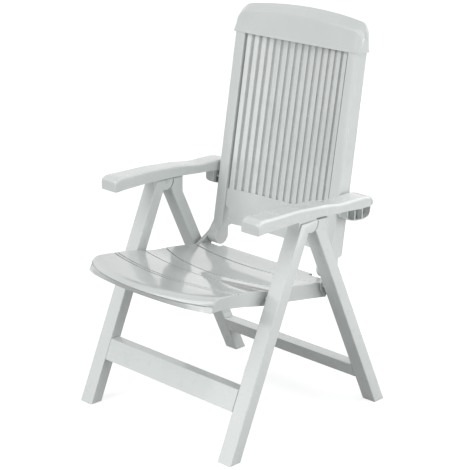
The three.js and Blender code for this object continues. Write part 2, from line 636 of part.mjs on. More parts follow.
function lowerPanel() {
	const wide = STILE_INNER_X + OVERRUN;
	const narrow = LOWER_PANEL_HALF_WIDTH;
	const corner = LOWER_PANEL_CORNER;
	const low = LOWER_PANEL_BOTTOM;
	const outline = new THREE.Shape();
	outline.moveTo(corner - narrow, low);
	outline.lineTo(narrow - corner, low);
	outline.absarc(narrow - corner, low + corner, corner, -Math.PI / 2, 0, false);
	outline.lineTo(narrow, LOWER_PANEL_SHOULDER - corner);
	outline.quadraticCurveTo(narrow, LOWER_PANEL_SHOULDER, wide, LOWER_PANEL_SHOULDER);
	outline.lineTo(wide, SLATS_BOTTOM + OVERRUN);
	outline.lineTo(-wide, SLATS_BOTTOM + OVERRUN);
	outline.lineTo(-wide, LOWER_PANEL_SHOULDER);
	outline.quadraticCurveTo(-narrow, LOWER_PANEL_SHOULDER, -narrow, LOWER_PANEL_SHOULDER - corner);
	outline.absarc(corner - narrow, low + corner, corner, Math.PI, Math.PI * 3 / 2, false);
	const depth = 2 * SLATS_HEIGHT;
	const cutter = new THREE.ExtrudeGeometry(outline, { depth, bevelEnabled: false, curveSegments: 6 });
	cutter.rotateX(Math.PI / 2);
	cutter.translate(0, BACK_PIVOT.x + depth / 2, 0);
	return panelSheet(low - OVERRUN, SLATS_BOTTOM - GAP, false).intersect(toSolid(cutter));
}

function headCap() {
	const across = [0, 0.2, 0.4, 0.58, 0.73, 0.84, 0.89, 0.93, 0.965, 0.985, 1];
	const shares = [...across.slice(1).reverse().map((share) => -share), ...across];
	const sections = shares.map((share) => {
		const x = Math.abs(share) * CAP_HALF_WIDTH;
		const over = Math.max(0, x - CAP_HALF_WIDTH + CAP_CORNER);
		const shoulder = CAP_CORNER * (1 - quarter(over / CAP_CORNER));
		const rearTop = CAP_BOTTOM + CAP_HEIGHT - CAP_ARCH * share * share - shoulder;
		const frontTop = rearTop - CAP_FRONT_DROP;
		const rear = stileFront(rearTop) + CAP_DEPTH_SIDE + CAP_BULGE * (1 - share * share) - shoulder / 3;
		const front = stileFront(frontTop) + shoulder / 6;
		const lipTop = CAP_BOTTOM + CAP_LIP_HEIGHT;
		const rearFoot = stileRear(CAP_BOTTOM) + CAP_LIP;
		const crown = new THREE.QuadraticBezierCurve(
			point(front, frontTop - CAP_ROUND),
			point(front + CAP_LIP, frontTop + CAP_ROUND / 4),
			point(front + CAP_ROUND * 1.5, frontTop + CAP_ROUND / 2),
		);
		return {
			at: share * CAP_HALF_WIDTH,
			outline: [
				point(stileFront(CAP_BOTTOM) - CAP_LIP, CAP_BOTTOM),
				point(rearFoot, CAP_BOTTOM),
				point(rear, rearTop - CAP_ROUND),
				point(rear - CAP_ROUND / 4, rearTop - CAP_ROUND / 4),
				point(rear - CAP_ROUND, rearTop),
				...crown.getPoints(4).reverse(),
				point(stileFront(lipTop), lipTop + CAP_LIP),
				point(stileFront(lipTop) - CAP_LIP, lipTop),
			],
		};
	});
	let cap = loft('x', sections);
	[1, -1].forEach((side) => {
		const near = side * (STILE_INNER_X + BACK_TENON_INSET - GAP);
		const far = side * (STILE_OUTER_X - BACK_TENON_INSET + GAP);
		cap = cap.subtract(block(
			Math.min(near, far), Math.max(near, far),
			stileFront(backTop) + BACK_TENON_INSET - GAP, stileRear(backTop) - BACK_TENON_INSET + GAP,
			CAP_BOTTOM - OVERRUN, backTop + BACK_TENON_LENGTH + GAP,
		));
	});
	return cap;
}

// Armrests

const armTopDrop = smoothShares(armTopShares);
const armTopHeight = (y) => ARM_TOP - ARM_TOP_DROP * armTopDrop((y - ARM_FRONT_Y) / ARM_LENGTH);

// A section of the arm at Y: heights first, then X, so that it reads anticlockwise from behind.
function armSection(y, inset, drop) {
	const share = (y - ARM_FRONT_Y) / ARM_LENGTH;
	const nose = Math.max(0, 1 - (y - ARM_FRONT_Y) / ARM_NOSE_CORNER);
	const tail = Math.max(0, 1 - (ARM_FRONT_Y + ARM_LENGTH - y) / ARM_TAIL_LENGTH);
	const middle = ARM_INNER_X + ARM_WIDTH / 2;
	const noseInset = ARM_NOSE_CORNER * (1 - quarter(nose));
	const half = ARM_TAIL_HALF_WIDTH
		+ (ARM_WIDTH / 2 - ARM_TAIL_HALF_WIDTH) * quarter(tail) - noseInset - inset;
	const top = armTopHeight(y) - inset;
	const bottom = ARM_REAR_BOTTOM + ARM_BOTTOM_RISE * readShares(armBottomShares, share) - drop;
	const round = Math.min(ARM_ROUND, (top - bottom) / 2, half / 2);
	const hem = ARM_HEM_ROUND;
	const outline = [
		point(bottom, middle + half - hem),
		point(bottom, middle - half + hem),
		point(bottom + hem, middle - half),
	];
	steps(3).forEach((step) => {
		const angle = step * Math.PI / 2;
		outline.push(point(
			top - round + round * Math.sin(angle),
			middle - half + round - round * Math.cos(angle),
		));
	});
	steps(3).forEach((step) => {
		const angle = step * Math.PI / 2;
		outline.push(point(
			top - round + round * Math.cos(angle),
			middle + half - round + round * Math.sin(angle),
		));
	});
	outline.push(point(bottom + hem, middle + half));
	return { at: y, outline };
}

function rackOutline() {
	const tailStart = ARM_FRONT_Y + ARM_LENGTH - ARM_TAIL_LENGTH + RACK_PLATE;
	return [
		point(RACK_FRONT, COMB_TOP),
		...rackEdgeShares.map(([along, down]) => point(
			RACK_FRONT + (RACK_REAR - RACK_FRONT) * along, COMB_TOP - COMB_DROP * down,
		)),
		point(tailStart, COMB_TOP),
	];
}

function armrest() {
	const stationShares = [
		0, 0.003, 0.012, 0.03, 0.17, 0.33, 0.39, 0.44, 0.5, 0.56, 0.61, 0.66, 0.71, 0.86, 0.92, 0.94,
		0.96, 0.98, 0.992, 1,
	];
	const sections = (inset, drop) => stationShares.map((share) => armSection(
		ARM_FRONT_Y + inset + share * (ARM_LENGTH - 2.5 * inset), inset, drop,
	));
	const rearLimit = ARM_FRONT_Y + ARM_LENGTH;
	let arm = loft('y', sections(0, 0)).subtract(loft('y', sections(ARM_WALL, ARM_BOTTOM_RISE)));
	const channelInner = ARM_INNER_X + ARM_WALL / 2;
	const channelOuter = ARM_OUTER_X - ARM_WALL / 2;
	const neckInner = LEG_INNER_X + NECK_INSET_INNER - GAP;
	const neckOuter = LEG_OUTER_X - NECK_INSET_OUTER + GAP;
	arm = arm
		.add(rod(ARM_PIVOT, ARM_BOSS_RADIUS, channelInner, neckInner))
		.add(rod(ARM_PIVOT, ARM_BOSS_RADIUS, neckOuter, channelOuter))
		.subtract(rod(ARM_PIVOT, ARM_PIN_RADIUS + GAP, ARM_INNER_X - OVERRUN, ARM_OUTER_X - ARM_WALL / 2));

	const rack = shapeOf(rackOutline());
	const webInner = ARM_INNER_X + COMB_THICKNESS;
	const webOuter = webInner + RACK_WEB;
	let comb = slab(rack, ARM_INNER_X, webInner);
	// Each notch lets its pin drop straight down as the chair folds, and its front side slopes as the
	// lifted arm swings, so that the arm clears the pin too.
	for (let notch = 0; notch < NOTCH_COUNT; notch += 1) {
		const spot = lockPinAt(notch);
		const width = LOCK_PIN_RADIUS + NOTCH_CLEARANCE;
		const mouth = COMB_TOP - COMB_DROP - OVERRUN;
		const liftSlope = (ARM_PIVOT.y - spot.y) / (spot.x - ARM_PIVOT.x);
		const slot = new THREE.Shape();
		slot.absarc(spot.x, spot.y, width, 0, Math.PI, false);
		slot.lineTo(spot.x - width - GAP - liftSlope * (spot.y - mouth), mouth);
		slot.lineTo(spot.x + width, mouth);
		comb = comb.subtract(slab(slot, ARM_INNER_X - OVERRUN, webInner + OVERRUN));
	}
	let plates = slab(rack, webInner, webOuter);
	const firstPlate = RACK_FRONT + OVERRUN / 2;
	for (let plate = 0; plate < 3; plate += 1) {
		const front = firstPlate + plate * RACK_PLATE_PITCH;
		plates = plates.add(block(
			webInner, ARM_INNER_X + RACK_WIDTH, front, front + RACK_PLATE,
			COMB_TOP - COMB_DROP, armTopHeight(front + RACK_PLATE) - ARM_WALL / 2,
		).intersect(
			slab(rack, webInner - OVERRUN, ARM_OUTER_X).add(
				block(webInner - OVERRUN, ARM_OUTER_X, front - OVERRUN, rearLimit, COMB_TOP - OVERRUN, ARM_TOP),
			),
		));
	}
	return arm.add(comb).add(plates);
}

// Finish and assembly

const resin = (colour, roughness) => new THREE.MeshStandardMaterial({ color: colour, roughness, metalness: 0 });
const FRAME_WHITE = 0xe9edea;
const BACK_WHITE = 0xe4e8e5;
const PIN_WHITE = 0xdfe3e1;

const chair = new THREE.Group();

function addMesh(name, solid, colour, roughness) {
	const geometry = toGeometry(solid);
	geometry.translate(0, -PLAN_CENTRE_Y, 0);
	const mesh = new THREE.Mesh(geometry, resin(colour, roughness));
	mesh.name = name;
	chair.add(mesh);
}

// A piece drawn on the left, at +X, and its mirror image on the right.
function addPair(name, solid, colour, roughness) {
	addMesh(`${name}_left`, solid, colour, roughness);
	addMesh(`${name}_right`, solid.mirror([1, 0, 0]), colour, roughness);
}

addPair('front_leg', frontLeg(), FRAME_WHITE, 0.32);
addMesh('front_crossbar', crossbar(frontBarOutline), FRAME_WHITE, 0.32);
addPair('rear_leg', rearLeg(), FRAME_WHITE, 0.32);
addMesh('rear_crossbar', crossbar(rearBarOutline), FRAME_WHITE, 0.32);
addMesh('seat_panel', seatPanel(), BACK_WHITE, 0.25);
addPair('armrest', armrest(), FRAME_WHITE, 0.3);
addPair('back_stile', stile(), BACK_WHITE, 0.3);
addMesh('back_slat_panel', panelSheet(SLATS_BOTTOM, backTop, true), BACK_WHITE, 0.35);
addMesh('back_lower_panel', lowerPanel(), BACK_WHITE, 0.3);
addMesh('head_cap', headCap(), FRAME_WHITE, 0.28);

const pins = [
	['leg_pivot_pin', LEG_PIVOT, LEG_PIN_RADIUS, LEG_INNER_X + GAP, LEG_OUTER_X - LEG_PIN_END_WALL - GAP],
	['arm_pivot_pin', ARM_PIVOT, ARM_PIN_RADIUS, ARM_INNER_X + GAP, ARM_OUTER_X - ARM_WALL / 2 - GAP],
	[
		'seat_front_pin', SEAT_FRONT_PIVOT, SEAT_PIN_RADIUS,
		SEAT_HALF_WIDTH - SEAT_BOSS_DEPTH + SEAT_WALL / 2 + GAP, LEG_INNER_X + SEAT_PIN_SOCKET,
	],
	[
		'seat_rear_pin', SEAT_REAR_PIVOT, SEAT_PIN_RADIUS,
		SEAT_HALF_WIDTH - SEAT_BOSS_DEPTH + SEAT_WALL / 2 + GAP, LEG_INNER_X + TRACK_DEPTH - GAP,
	],
	[
		'back_pivot_pin', BACK_PIVOT, BACK_PIN_RADIUS,
		STILE_INNER_X + LUG_INSET + BACK_PIN_CAP + GAP,
		STILE_OUTER_X + EAR_GAP + EAR_THICKNESS - BACK_PIN_CAP - GAP,
	],
	[
		'lock_pin', lockPinAt(0), LOCK_PIN_RADIUS,
		STILE_OUTER_X - LOCK_PIN_SOCKET, STILE_OUTER_X + LOCK_PIN_REACH,
	],
];
pins.forEach(([name, centre, radius, x0, x1]) => addPair(name, rod(centre, radius, x0, x1), PIN_WHITE, 0.4));

export default chair;
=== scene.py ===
"""Looks of the reclining garden lounger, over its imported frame. Metres, in the frame of the part."""

import math
from collections import namedtuple

import bmesh
import bpy
from mathutils import Matrix, Vector


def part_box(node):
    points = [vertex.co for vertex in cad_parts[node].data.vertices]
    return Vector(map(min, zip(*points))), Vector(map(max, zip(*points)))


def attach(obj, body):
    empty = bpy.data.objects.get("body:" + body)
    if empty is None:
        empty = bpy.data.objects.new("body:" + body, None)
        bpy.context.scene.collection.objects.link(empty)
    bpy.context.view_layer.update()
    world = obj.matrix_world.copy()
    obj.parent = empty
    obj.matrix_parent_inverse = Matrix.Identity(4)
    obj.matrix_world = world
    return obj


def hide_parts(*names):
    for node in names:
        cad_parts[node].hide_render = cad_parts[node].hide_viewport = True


CAMERA_PLACE = Vector((2.8673, -2.9032, 1.8329))
CAMERA_TARGET = Vector((0.0, 0.0299, 0.49619))
CAMERA_ROLL = math.radians(0.48)
CAMERA_LENS = 118.8
CAMERA_REACH = 60.0
SENSOR = 36.0

SHARP_ANGLE = math.radians(50)
WELD = 0.00002
BAR_RIM = 0.0014
SAME_SPOT = 1e-6

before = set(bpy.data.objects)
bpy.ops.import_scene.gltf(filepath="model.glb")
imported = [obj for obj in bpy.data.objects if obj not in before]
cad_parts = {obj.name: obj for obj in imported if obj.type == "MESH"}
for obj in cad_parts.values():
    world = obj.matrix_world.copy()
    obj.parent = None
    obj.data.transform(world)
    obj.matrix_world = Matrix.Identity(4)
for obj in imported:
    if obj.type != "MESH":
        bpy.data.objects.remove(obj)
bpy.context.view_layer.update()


# Nodes that the materials share

def node_of(tree, kind, **settings):
    node = tree.nodes.new(kind)
    for name, value in settings.items():
        setattr(node, name, value)
    return node


def noise(tree, scale, detail, rough=0.5):
    """Noise that stays on the piece as it moves."""
    node = node_of(tree, "ShaderNodeTexNoise")
    node.inputs["Scale"].default_value = scale
    node.inputs["Detail"].default_value = detail
    node.inputs["Roughness"].default_value = rough
    tree.links.new(node_of(tree, "ShaderNodeTexCoord").outputs["Object"], node.inputs["Vector"])
    return node.outputs["Fac"]


def spread(tree, value, low, high, start=0.3, end=0.7):
    """The value from start to end, stretched to run from low to high."""
    node = node_of(tree, "ShaderNodeMapRange")
    node.inputs["From Min"].default_value = start
    node.inputs["From Max"].default_value = end
    node.inputs["To Min"].default_value = low
    node.inputs["To Max"].default_value = high
    tree.links.new(value, node.inputs["Value"])
    return node.outputs["Result"]


def combined(tree, operation, first, second):
    node = node_of(tree, "ShaderNodeMath", operation=operation)
    tree.links.new(first, node.inputs[0])
    tree.links.new(second, node.inputs[1])
    return node.outputs[0]


def mixed(tree, factor, first, second):
    """A blend of two colours, each a plain colour or another node's output."""
    node = node_of(tree, "ShaderNodeMix", data_type="RGBA")
    tree.links.new(factor, node.inputs["Factor"])
    for socket, value in (("A", first), ("B", second)):
        target = [item for item in node.inputs if item.name == socket and item.type == "RGBA"][0]
        if isinstance(value, tuple):
            target.default_value = value
        else:
            tree.links.new(value, target)
    return [item for item in node.outputs if item.type == "RGBA"][0]


def bump(tree, height, strength, distance):
    node = node_of(tree, "ShaderNodeBump")
    node.inputs["Strength"].default_value = strength
    node.inputs["Distance"].default_value = distance
    tree.links.new(height, node.inputs["Height"])
    return node


# Moulded resin

# Scales of the tone clouds, of the uneven patches of painted shade, and of the slow waves.
CLOUD_SCALE, SHADE_PATCH_SCALE, WAVE_SCALE = 9.0, 60.0, 16.0
GLOSS_SCALE, SPECK_SCALE, GRAIN_SCALE = 24.0, 420.0, 900.0
CLOUD_TONE, RUBBED_TONE, RUBBED_LIMIT, RUBBED_SHARE = 0.955, 1.03, (0.88, 0.89, 0.88), 0.7
# Tint of the shade painted into corners and grooves.
SHADE_TINT = (1.0, 0.98, 0.93)
GRAIN_RISE, WAVE_RISE, WAVE_STRENGTH = 0.001, 0.004, 0.10
RESIN_IOR, COAT_IOR, COAT_ROUGHNESS = 1.5, 1.55, 0.05


def resin_colour(tree, colour, painted_shade, shade_tone, near):
    """Faint clouds of tone, shade painted into the corners and grooves, and lighter, rubbed edges."""
    cloud = tuple(part * CLOUD_TONE for part in colour)
    shade_colour = tuple(part * shade_tone * tint for part, tint in zip(colour, SHADE_TINT))
    rubbed = tuple(min(part * RUBBED_TONE, limit) for part, limit in zip(colour, RUBBED_LIMIT))
    body = mixed(tree, spread(tree, noise(tree, CLOUD_SCALE, 4.0), 0.0, 1.0), (*colour, 1.0), (*cloud, 1.0))
    # Painted shade: where ambient occlusion finds surfaces close by, in corners, grooves and recesses, the
    # colour darkens toward a darker tone in uneven patches.
    corner = node_of(tree, "ShaderNodeAmbientOcclusion", samples=8)
    corner.inputs["Distance"].default_value = near
    shade_mask = spread(tree, corner.outputs["AO"], painted_shade, 0.0, start=0.45, end=0.95)
    shade_patches = spread(tree, noise(tree, SHADE_PATCH_SCALE, 3.0), 0.8, 1.0)
    shaded = mixed(tree, combined(tree, "MULTIPLY", shade_mask, shade_patches), body, (*shade_colour, 1.0))
    edge = node_of(tree, "ShaderNodeNewGeometry").outputs["Pointiness"]
    return mixed(tree, spread(tree, edge, 0.0, RUBBED_SHARE, start=0.52, end=0.60), shaded, (*rubbed, 1.0))


def resin_gloss(tree, roughness):
    broad = spread(tree, noise(tree, GLOSS_SCALE, 5.0, 0.6), roughness - 0.04, roughness + 0.05)
    fine = spread(tree, noise(tree, SPECK_SCALE, 2.0), -0.03, 0.03)
    return combined(tree, "ADD", broad, fine)


def resin_skin(tree, grain):
    """The fine moulded grain over the slow waves of a large moulding."""
    wave = bump(tree, noise(tree, WAVE_SCALE, 2.0), WAVE_STRENGTH, WAVE_RISE)
    skin = bump(tree, noise(tree, GRAIN_SCALE, 3.0), grain, GRAIN_RISE)
    tree.links.new(wave.outputs["Normal"], skin.inputs["Normal"])
    return skin.outputs["Normal"]


def resin(name, colour, roughness, coat=0.6, painted_shade=0.12, grain=0.035, shade_tone=0.60, near=0.012):
    """Moulded resin, with shade painted into its corners and grooves. Besides colour, roughness, coat and
    grain, its arguments set how much shade is painted, how dark it is, and (near) how far it reaches.
    """
    material = bpy.data.materials.new(name)
    material.use_nodes = True
    tree = material.node_tree
    shader = tree.nodes["Principled BSDF"]
    tree.links.new(resin_colour(tree, colour, painted_shade, shade_tone, near), shader.inputs["Base Color"])
    tree.links.new(resin_gloss(tree, roughness), shader.inputs["Roughness"])
    tree.links.new(resin_skin(tree, grain), shader.inputs["Normal"])
    shader.inputs["IOR"].default_value = RESIN_IOR
    shader.inputs["Coat Weight"].default_value = coat
    shader.inputs["Coat Roughness"].default_value = COAT_ROUGHNESS
    shader.inputs["Coat IOR"].default_value = COAT_IOR
    return material


finishes = {
    "frame_resin": resin("frame_resin", (0.775, 0.808, 0.795), 0.30, coat=0.7),
    "arm_resin": resin("arm_resin", (0.770, 0.804, 0.790), 0.24, coat=1.0, grain=0.02),
    # The rack's comb and web carry the heaviest painted shade, darker and reaching farther, so their slots
    # and hollows read dark.
    "rack_resin": resin(
        "rack_resin", (0.770, 0.804, 0.790), 0.30, coat=0.5, painted_shade=1.0, shade_tone=0.30, near=0.045,
    ),
    "back_resin": resin("back_resin", (0.760, 0.792, 0.780), 0.32, coat=0.7),
    # The slats carry heavy painted shade, which darkens the grooves between them.
    "slat_resin": resin(
        "slat_resin", (0.765, 0.797, 0.785), 0.26, coat=1.0, painted_shade=0.85, grain=0.02, shade_tone=0.34,
    ),
    # The seat's colour is set darker than the frame's as painted shade for the lesser light on its top, and
    # heavy painted shade darkens its grooves.
    "seat_resin": resin(
        "seat_resin", (0.705, 0.735, 0.724), 0.17, coat=1.0, painted_shade=0.8, grain=0.012, shade_tone=0.34,
    ),
    "cap_resin": resin("cap_resin", (0.765, 0.797, 0.785), 0.32, coat=0.7),
    "pin_resin": resin("pin_resin", (0.700, 0.730, 0.718), 0.36, coat=0.4),
}

group_finishes = {"seat": "seat_resin", "head": "cap_resin", "back": "back_resin", "armrest": "arm_resin"}


def finish_for(node):
    """Pins have a finish of their own; another CAD node takes its finish from the first word of its name."""
    if "pin" in node:
        return "pin_resin"
    return group_finishes.get(node.split("_")[0], "frame_resin")


# CAD pieces keep their vertices; their rims shade round

def shade_group():
    """Geometry nodes that join touching vertices and shade smooth over every edge that isn't sharp."""
    group = bpy.data.node_groups.new("soft_rims", "GeometryNodeTree")
    group.interface.new_socket("Geometry", in_out="INPUT", socket_type="NodeSocketGeometry")
    group.interface.new_socket("Geometry", in_out="OUTPUT", socket_type="NodeSocketGeometry")
    link = group.links.new
    entry = group.nodes.new("NodeGroupInput")
    leave = group.nodes.new("NodeGroupOutput")
    weld = group.nodes.new("GeometryNodeMergeByDistance")
    weld.inputs["Distance"].default_value = WELD
    faces = group.nodes.new("GeometryNodeSetShadeSmooth")
    faces.domain = "FACE"
    faces.inputs["Shade Smooth"].default_value = True
    angle = group.nodes.new("GeometryNodeInputMeshEdgeAngle")
    limit = group.nodes.new("FunctionNodeCompare")
    limit.data_type = "FLOAT"
    limit.operation = "LESS_EQUAL"
    limit.inputs["B"].default_value = SHARP_ANGLE
    edges = group.nodes.new("GeometryNodeSetShadeSmooth")
    edges.domain = "EDGE"
    link(angle.outputs["Unsigned Angle"], limit.inputs["A"])
    link(limit.outputs["Result"], edges.inputs["Shade Smooth"])
    link(entry.outputs["Geometry"], weld.inputs["Geometry"])
    link(weld.outputs["Geometry"], faces.inputs["Geometry"])
    link(faces.outputs["Geometry"], edges.inputs["Geometry"])
    link(edges.outputs["Geometry"], leave.inputs["Geometry"])
    return group


soft_rims = shade_group()


def soften(item):
    item.modifiers.new("rims", "NODES").node_group = soft_rims
    weighted = item.modifiers.new("weighted", "WEIGHTED_NORMAL")
    weighted.weight = 100
    weighted.keep_sharp = True


def bevel_rims(item, width, segments, angle):
    bevel = item.modifiers.new("rim", "BEVEL")
    bevel.width = width
    bevel.segments = segments
    bevel.limit_method = "ANGLE"
    bevel.angle_limit = angle
    bevel.use_clamp_overlap = True


def round_bar(item):
    """Welds the faceted bar and rounds its rims a little, as a moulding has them."""
    weld = item.modifiers.new("weld", "WELD")
    weld.merge_threshold = WELD
    bevel_rims(item, BAR_RIM, 2, SHARP_ANGLE)


for name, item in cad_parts.items():
    item.data.materials.clear()
    item.data.materials.append(finishes[finish_for(name)])
    if name.startswith(("front_", "rear_", "back_stile")):
        round_bar(item)
    soften(item)


# Fine pieces, in millimetres of a side view whose y starts at the front feet, sized from the CAD nodes

MM = 0.001
DIGITS = 2
CENTRE_Y = -round(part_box("front_leg_left")[0].y / MM, DIGITS)

Spot = namedtuple("Spot", "x y z")
SideSpot = namedtuple("SideSpot", "y z")


def side_box(node):
    """Lowest and highest corner of a CAD node in the side view's millimetres."""
    corners = [(corner.x / MM, corner.y / MM + CENTRE_Y, corner.z / MM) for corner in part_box(node)]
    return [Spot(*[round(value, DIGITS) for value in corner]) for corner in corners]


def pin_centre(node):
    low, high = side_box(node)
    return SideSpot((low.y + high.y) / 2, (low.z + high.z) / 2)


def quarter(share):
    """Height of a quarter of the unit circle: 1 at share 0 and 0 from share 1 on."""
    return math.sqrt(max(0.0, 1.0 - share * share))


def clamp(value):
    return min(1.0, max(0.0, value))


def steps(count):
    return [i / count for i in range(count + 1)]


def read_shares(table, share):
    """Reads a table of shares, with straight lines between its points."""
    if share <= table[0][0]:
        return table[0][1]
    for (along0, value0), (along1, value1) in zip(table, table[1:]):
        if share <= along1:
            return value0 + (value1 - value0) * (share - along0) / (along1 - along0)
    return table[-1][1]


def between(a, b, c, d, t):
    """The smooth curve through four even spots, from b at t 0 to c at t 1."""
    bend, twist = 2 * a - 5 * b + 4 * c - d, 3 * b - a - 3 * c + d
    return 0.5 * (2 * b + (c - a) * t + bend * t ** 2 + twist * t ** 3)


def smooth_shares(table, fine=12):
    """The table drawn as one smooth curve through its points."""
    last = len(table) - 1
    dense = []
    for i in range(last):
        around = (table[max(i - 1, 0)], table[i], table[i + 1], table[min(i + 2, last)])
        for t in steps(fine)[:-1]:
            dense.append(tuple(between(*values, t) for values in zip(*around)))
    dense.append(table[last])
    return lambda share: read_shares(dense, share)


def bezier(a, b, c, count):
    spots = []
    for t in steps(count):
        spots.append(tuple((1 - t) ** 2 * p + 2 * t * (1 - t) * q + t * t * r for p, q, r in zip(a, b, c)))
    return spots


def arc(centre, radius, start, end, count):
    angles = [start + (end - start) * t for t in steps(count)]
    return [(centre.y + radius * math.cos(angle), centre.z + radius * math.sin(angle)) for angle in angles]


def put(x, y, z):
    return (x * MM, (y - CENTRE_Y) * MM, z * MM)


def piece(name, verts, faces, body, node_names, finish):
    """A mesh that rides on the body, in place of the CAD nodes named."""
    mesh = bpy.data.meshes.new(name)
    mesh.from_pydata(verts, [], faces)
    shape = bmesh.new()
    shape.from_mesh(mesh)
    bmesh.ops.remove_doubles(shape, verts=shape.verts, dist=SAME_SPOT)
    bmesh.ops.recalc_face_normals(shape, faces=shape.faces)
    shape.to_mesh(mesh)
    shape.free()
    item = bpy.data.objects.new(name, mesh)
    bpy.context.collection.objects.link(item)
    mesh.materials.append(finishes[finish])
    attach(item, body)
    if node_names:
        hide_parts(*node_names)
    return item


def round_rims(item, width, segments=3, angle=35):
    bevel_rims(item, width * MM, segments, math.radians(angle))
    soften(item)


def closed_loft(rings):
    """Rings of points joined in order, with a face over each end."""
    count = len(rings[0])
    verts = [spot for ring in rings for spot in ring]
    faces = []
    for s in range(len(rings) - 1):
        for k in range(count):
            a, b = s * count + k, s * count + (k + 1) % count
            faces.append((a, b, b + count, a + count))
    last = (len(rings) - 1) * count
    faces.append(tuple(range(count)))
    faces.append(tuple(range(last, last + count)))
    return verts, faces


def open_loft(rings):
    """Open strips of points joined in order, with no ends."""
    count = len(rings[0])
    verts = [spot for ring in rings for spot in ring]
    faces = []
    for s in range(len(rings) - 1):
        for k in range(count - 1):
            a = s * count + k
            faces.append((a, a + 1, a + 1 + count, a + count))
    return verts, faces


def prism(outline, x0, x1):
    """A side outline pushed across the chair, from x0 to x1."""
    return closed_loft([[put(x, y, z) for y, z in outline] for x in (x0, x1)])


# Stiles, whose faces lean back from the hinge

BACK_PIVOT = pin_centre("back_pivot_pin_left")
STILE_FRONT_SETBACK, STILE_DEPTH = 9.5, 49.7
STILE_FRONT_SHARE, STILE_REAR_SHARE = 0.16, 0.14
STILE_INNER = side_box("back_stile_left")[0].x


def stile_front(z):
    return BACK_PIVOT.y - STILE_FRONT_SETBACK + STILE_FRONT_SHARE * (z - BACK_PIVOT.z)


def stile_rear(z):
    return BACK_PIVOT.y - STILE_FRONT_SETBACK + STILE_DEPTH + STILE_REAR_SHARE * (z - BACK_PIVOT.z)


# Head cap

CAP_LOW, CAP_HIGH = side_box("head_cap")
CAP_HALF, CAP_BOTTOM, CAP_TOP = CAP_HIGH.x, CAP_LOW.z, CAP_HIGH.z
CAP_ARCH, CAP_CORNER, CAP_ROUND = 17.0, 30.0, 8.0
CAP_FRONT_DROP, CAP_DEPTH_SIDE, CAP_BULGE, CAP_CREST = 18.0, 34.0, 14.0, 0.5
SHOULDER_REAR_SHARE, SHOULDER_FRONT_SHARE = 1 / 3, 1 / 6
CAP_LIP, CAP_LIP_HEIGHT, LIP_FADE, LIP_BEND, LIP_BEND_OUT, LIP_EDGE = 1.5, 5.0, 3.0, 1.2, 0.2, 0.6
CAP_STEPS, CAP_CROWDING, CAP_RIM = 36, 0.8, 1.6


def cap_front(front, front_top):
    """From the front face's round up to the foot of the slope on top."""
    return bezier(
        (front, front_top - CAP_ROUND), (front + CAP_LIP, front_top + CAP_ROUND / 4),
        (front + CAP_ROUND * 1.5, front_top + CAP_ROUND / 2), 8,
    )


def cap_rear(rear, rear_top):
    corner = (rear - CAP_CREST, rear_top - CAP_CREST)
    return bezier((rear, rear_top - CAP_ROUND), corner, (rear - CAP_ROUND, rear_top), 6)


def cap_section(share):
    """The cap's side outline at a share of its half width: lower and thinner toward its ends."""
    over = max(0.0, abs(share) * CAP_HALF - CAP_HALF + CAP_CORNER)
    shoulder = CAP_CORNER * (1 - quarter(over / CAP_CORNER))
    rear_top = CAP_TOP - CAP_ARCH * share * share - shoulder
    front_top = rear_top - CAP_FRONT_DROP
    depth = CAP_DEPTH_SIDE + CAP_BULGE * (1 - share * share)
    rear = stile_front(rear_top) + depth - shoulder * SHOULDER_REAR_SHARE
    front = stile_front(front_top) + shoulder * SHOULDER_FRONT_SHARE
    lip_top = CAP_BOTTOM + CAP_LIP_HEIGHT
    return [
        (stile_front(CAP_BOTTOM) - CAP_LIP, CAP_BOTTOM), (stile_rear(CAP_BOTTOM) + CAP_LIP, CAP_BOTTOM),
        *cap_rear(rear, rear_top), *reversed(cap_front(front, front_top)),
        (stile_front(lip_top + LIP_FADE), lip_top + LIP_FADE),
        (stile_front(lip_top) - LIP_BEND_OUT, lip_top + LIP_BEND),
        (stile_front(lip_top) - CAP_LIP, lip_top - LIP_EDGE),
    ]


def head_cap():
    """Sections across the cap, closer together toward its rounded ends."""
    half = [math.sin(s * math.pi / 2) ** CAP_CROWDING for s in steps(CAP_STEPS)]
    shares = sorted({round(sign * share, 5) for share in half for sign in (1, -1)})
    rings = [[put(share * CAP_HALF, y, z) for y, z in cap_section(share)] for share in shares]
    item = piece("head_cap_form", *closed_loft(rings), "backrest", ("head_cap",), "cap_resin")
    round_rims(item, CAP_RIM)


head_cap()


# Slat panel and lower panel, hollow across the back

SLATS_LOW, SLATS_HIGH = side_box("back_slat_panel")
PANEL_HALF, SLATS_BOTTOM, SLATS_TOP = SLATS_HIGH.x, SLATS_LOW.z, SLATS_HIGH.z
PANEL_INSET, PANEL_SAG, PANEL_THICKNESS = 5.0, 18.0, 9.0
SLATS = 15
SLAT_PITCH = 2 * PANEL_HALF / SLATS
SLAT_GROOVE_HALF, SLAT_GROOVE_DEPTH = 4.1, 6.0
GROOVE_SHOULDER, GROOVE_WALL, GROOVE_FLOOR_SHARE = 0.5, 3.4, 0.72
SLAT_EDGE, SLAT_ROUND, SLAT_PROUD = 3.4, 1.9, 0.1
RUNGS, RIB_RISE = 236, 2.0
SLAT_STEPS, PANEL_REAR_STEPS, PANEL_STEPS = 20, 30, 40
LOWER_BOTTOM, LOWER_TOP = [corner.z for corner in side_box("back_lower_panel")]
LOWER_CORNER, LOWER_RIM, SHOULDER_RISE, LOWER_INSET = 16.0, 2.0, 50.0, 15.0
LOWER_SHOULDER = LOWER_BOTTOM + SHOULDER_RISE
LOWER_HALF = STILE_INNER - LOWER_INSET
SHOULDER_EASE = 1.4


def hollow(x):
    return PANEL_INSET + PANEL_SAG * (1 - (x / PANEL_HALF) ** 2)


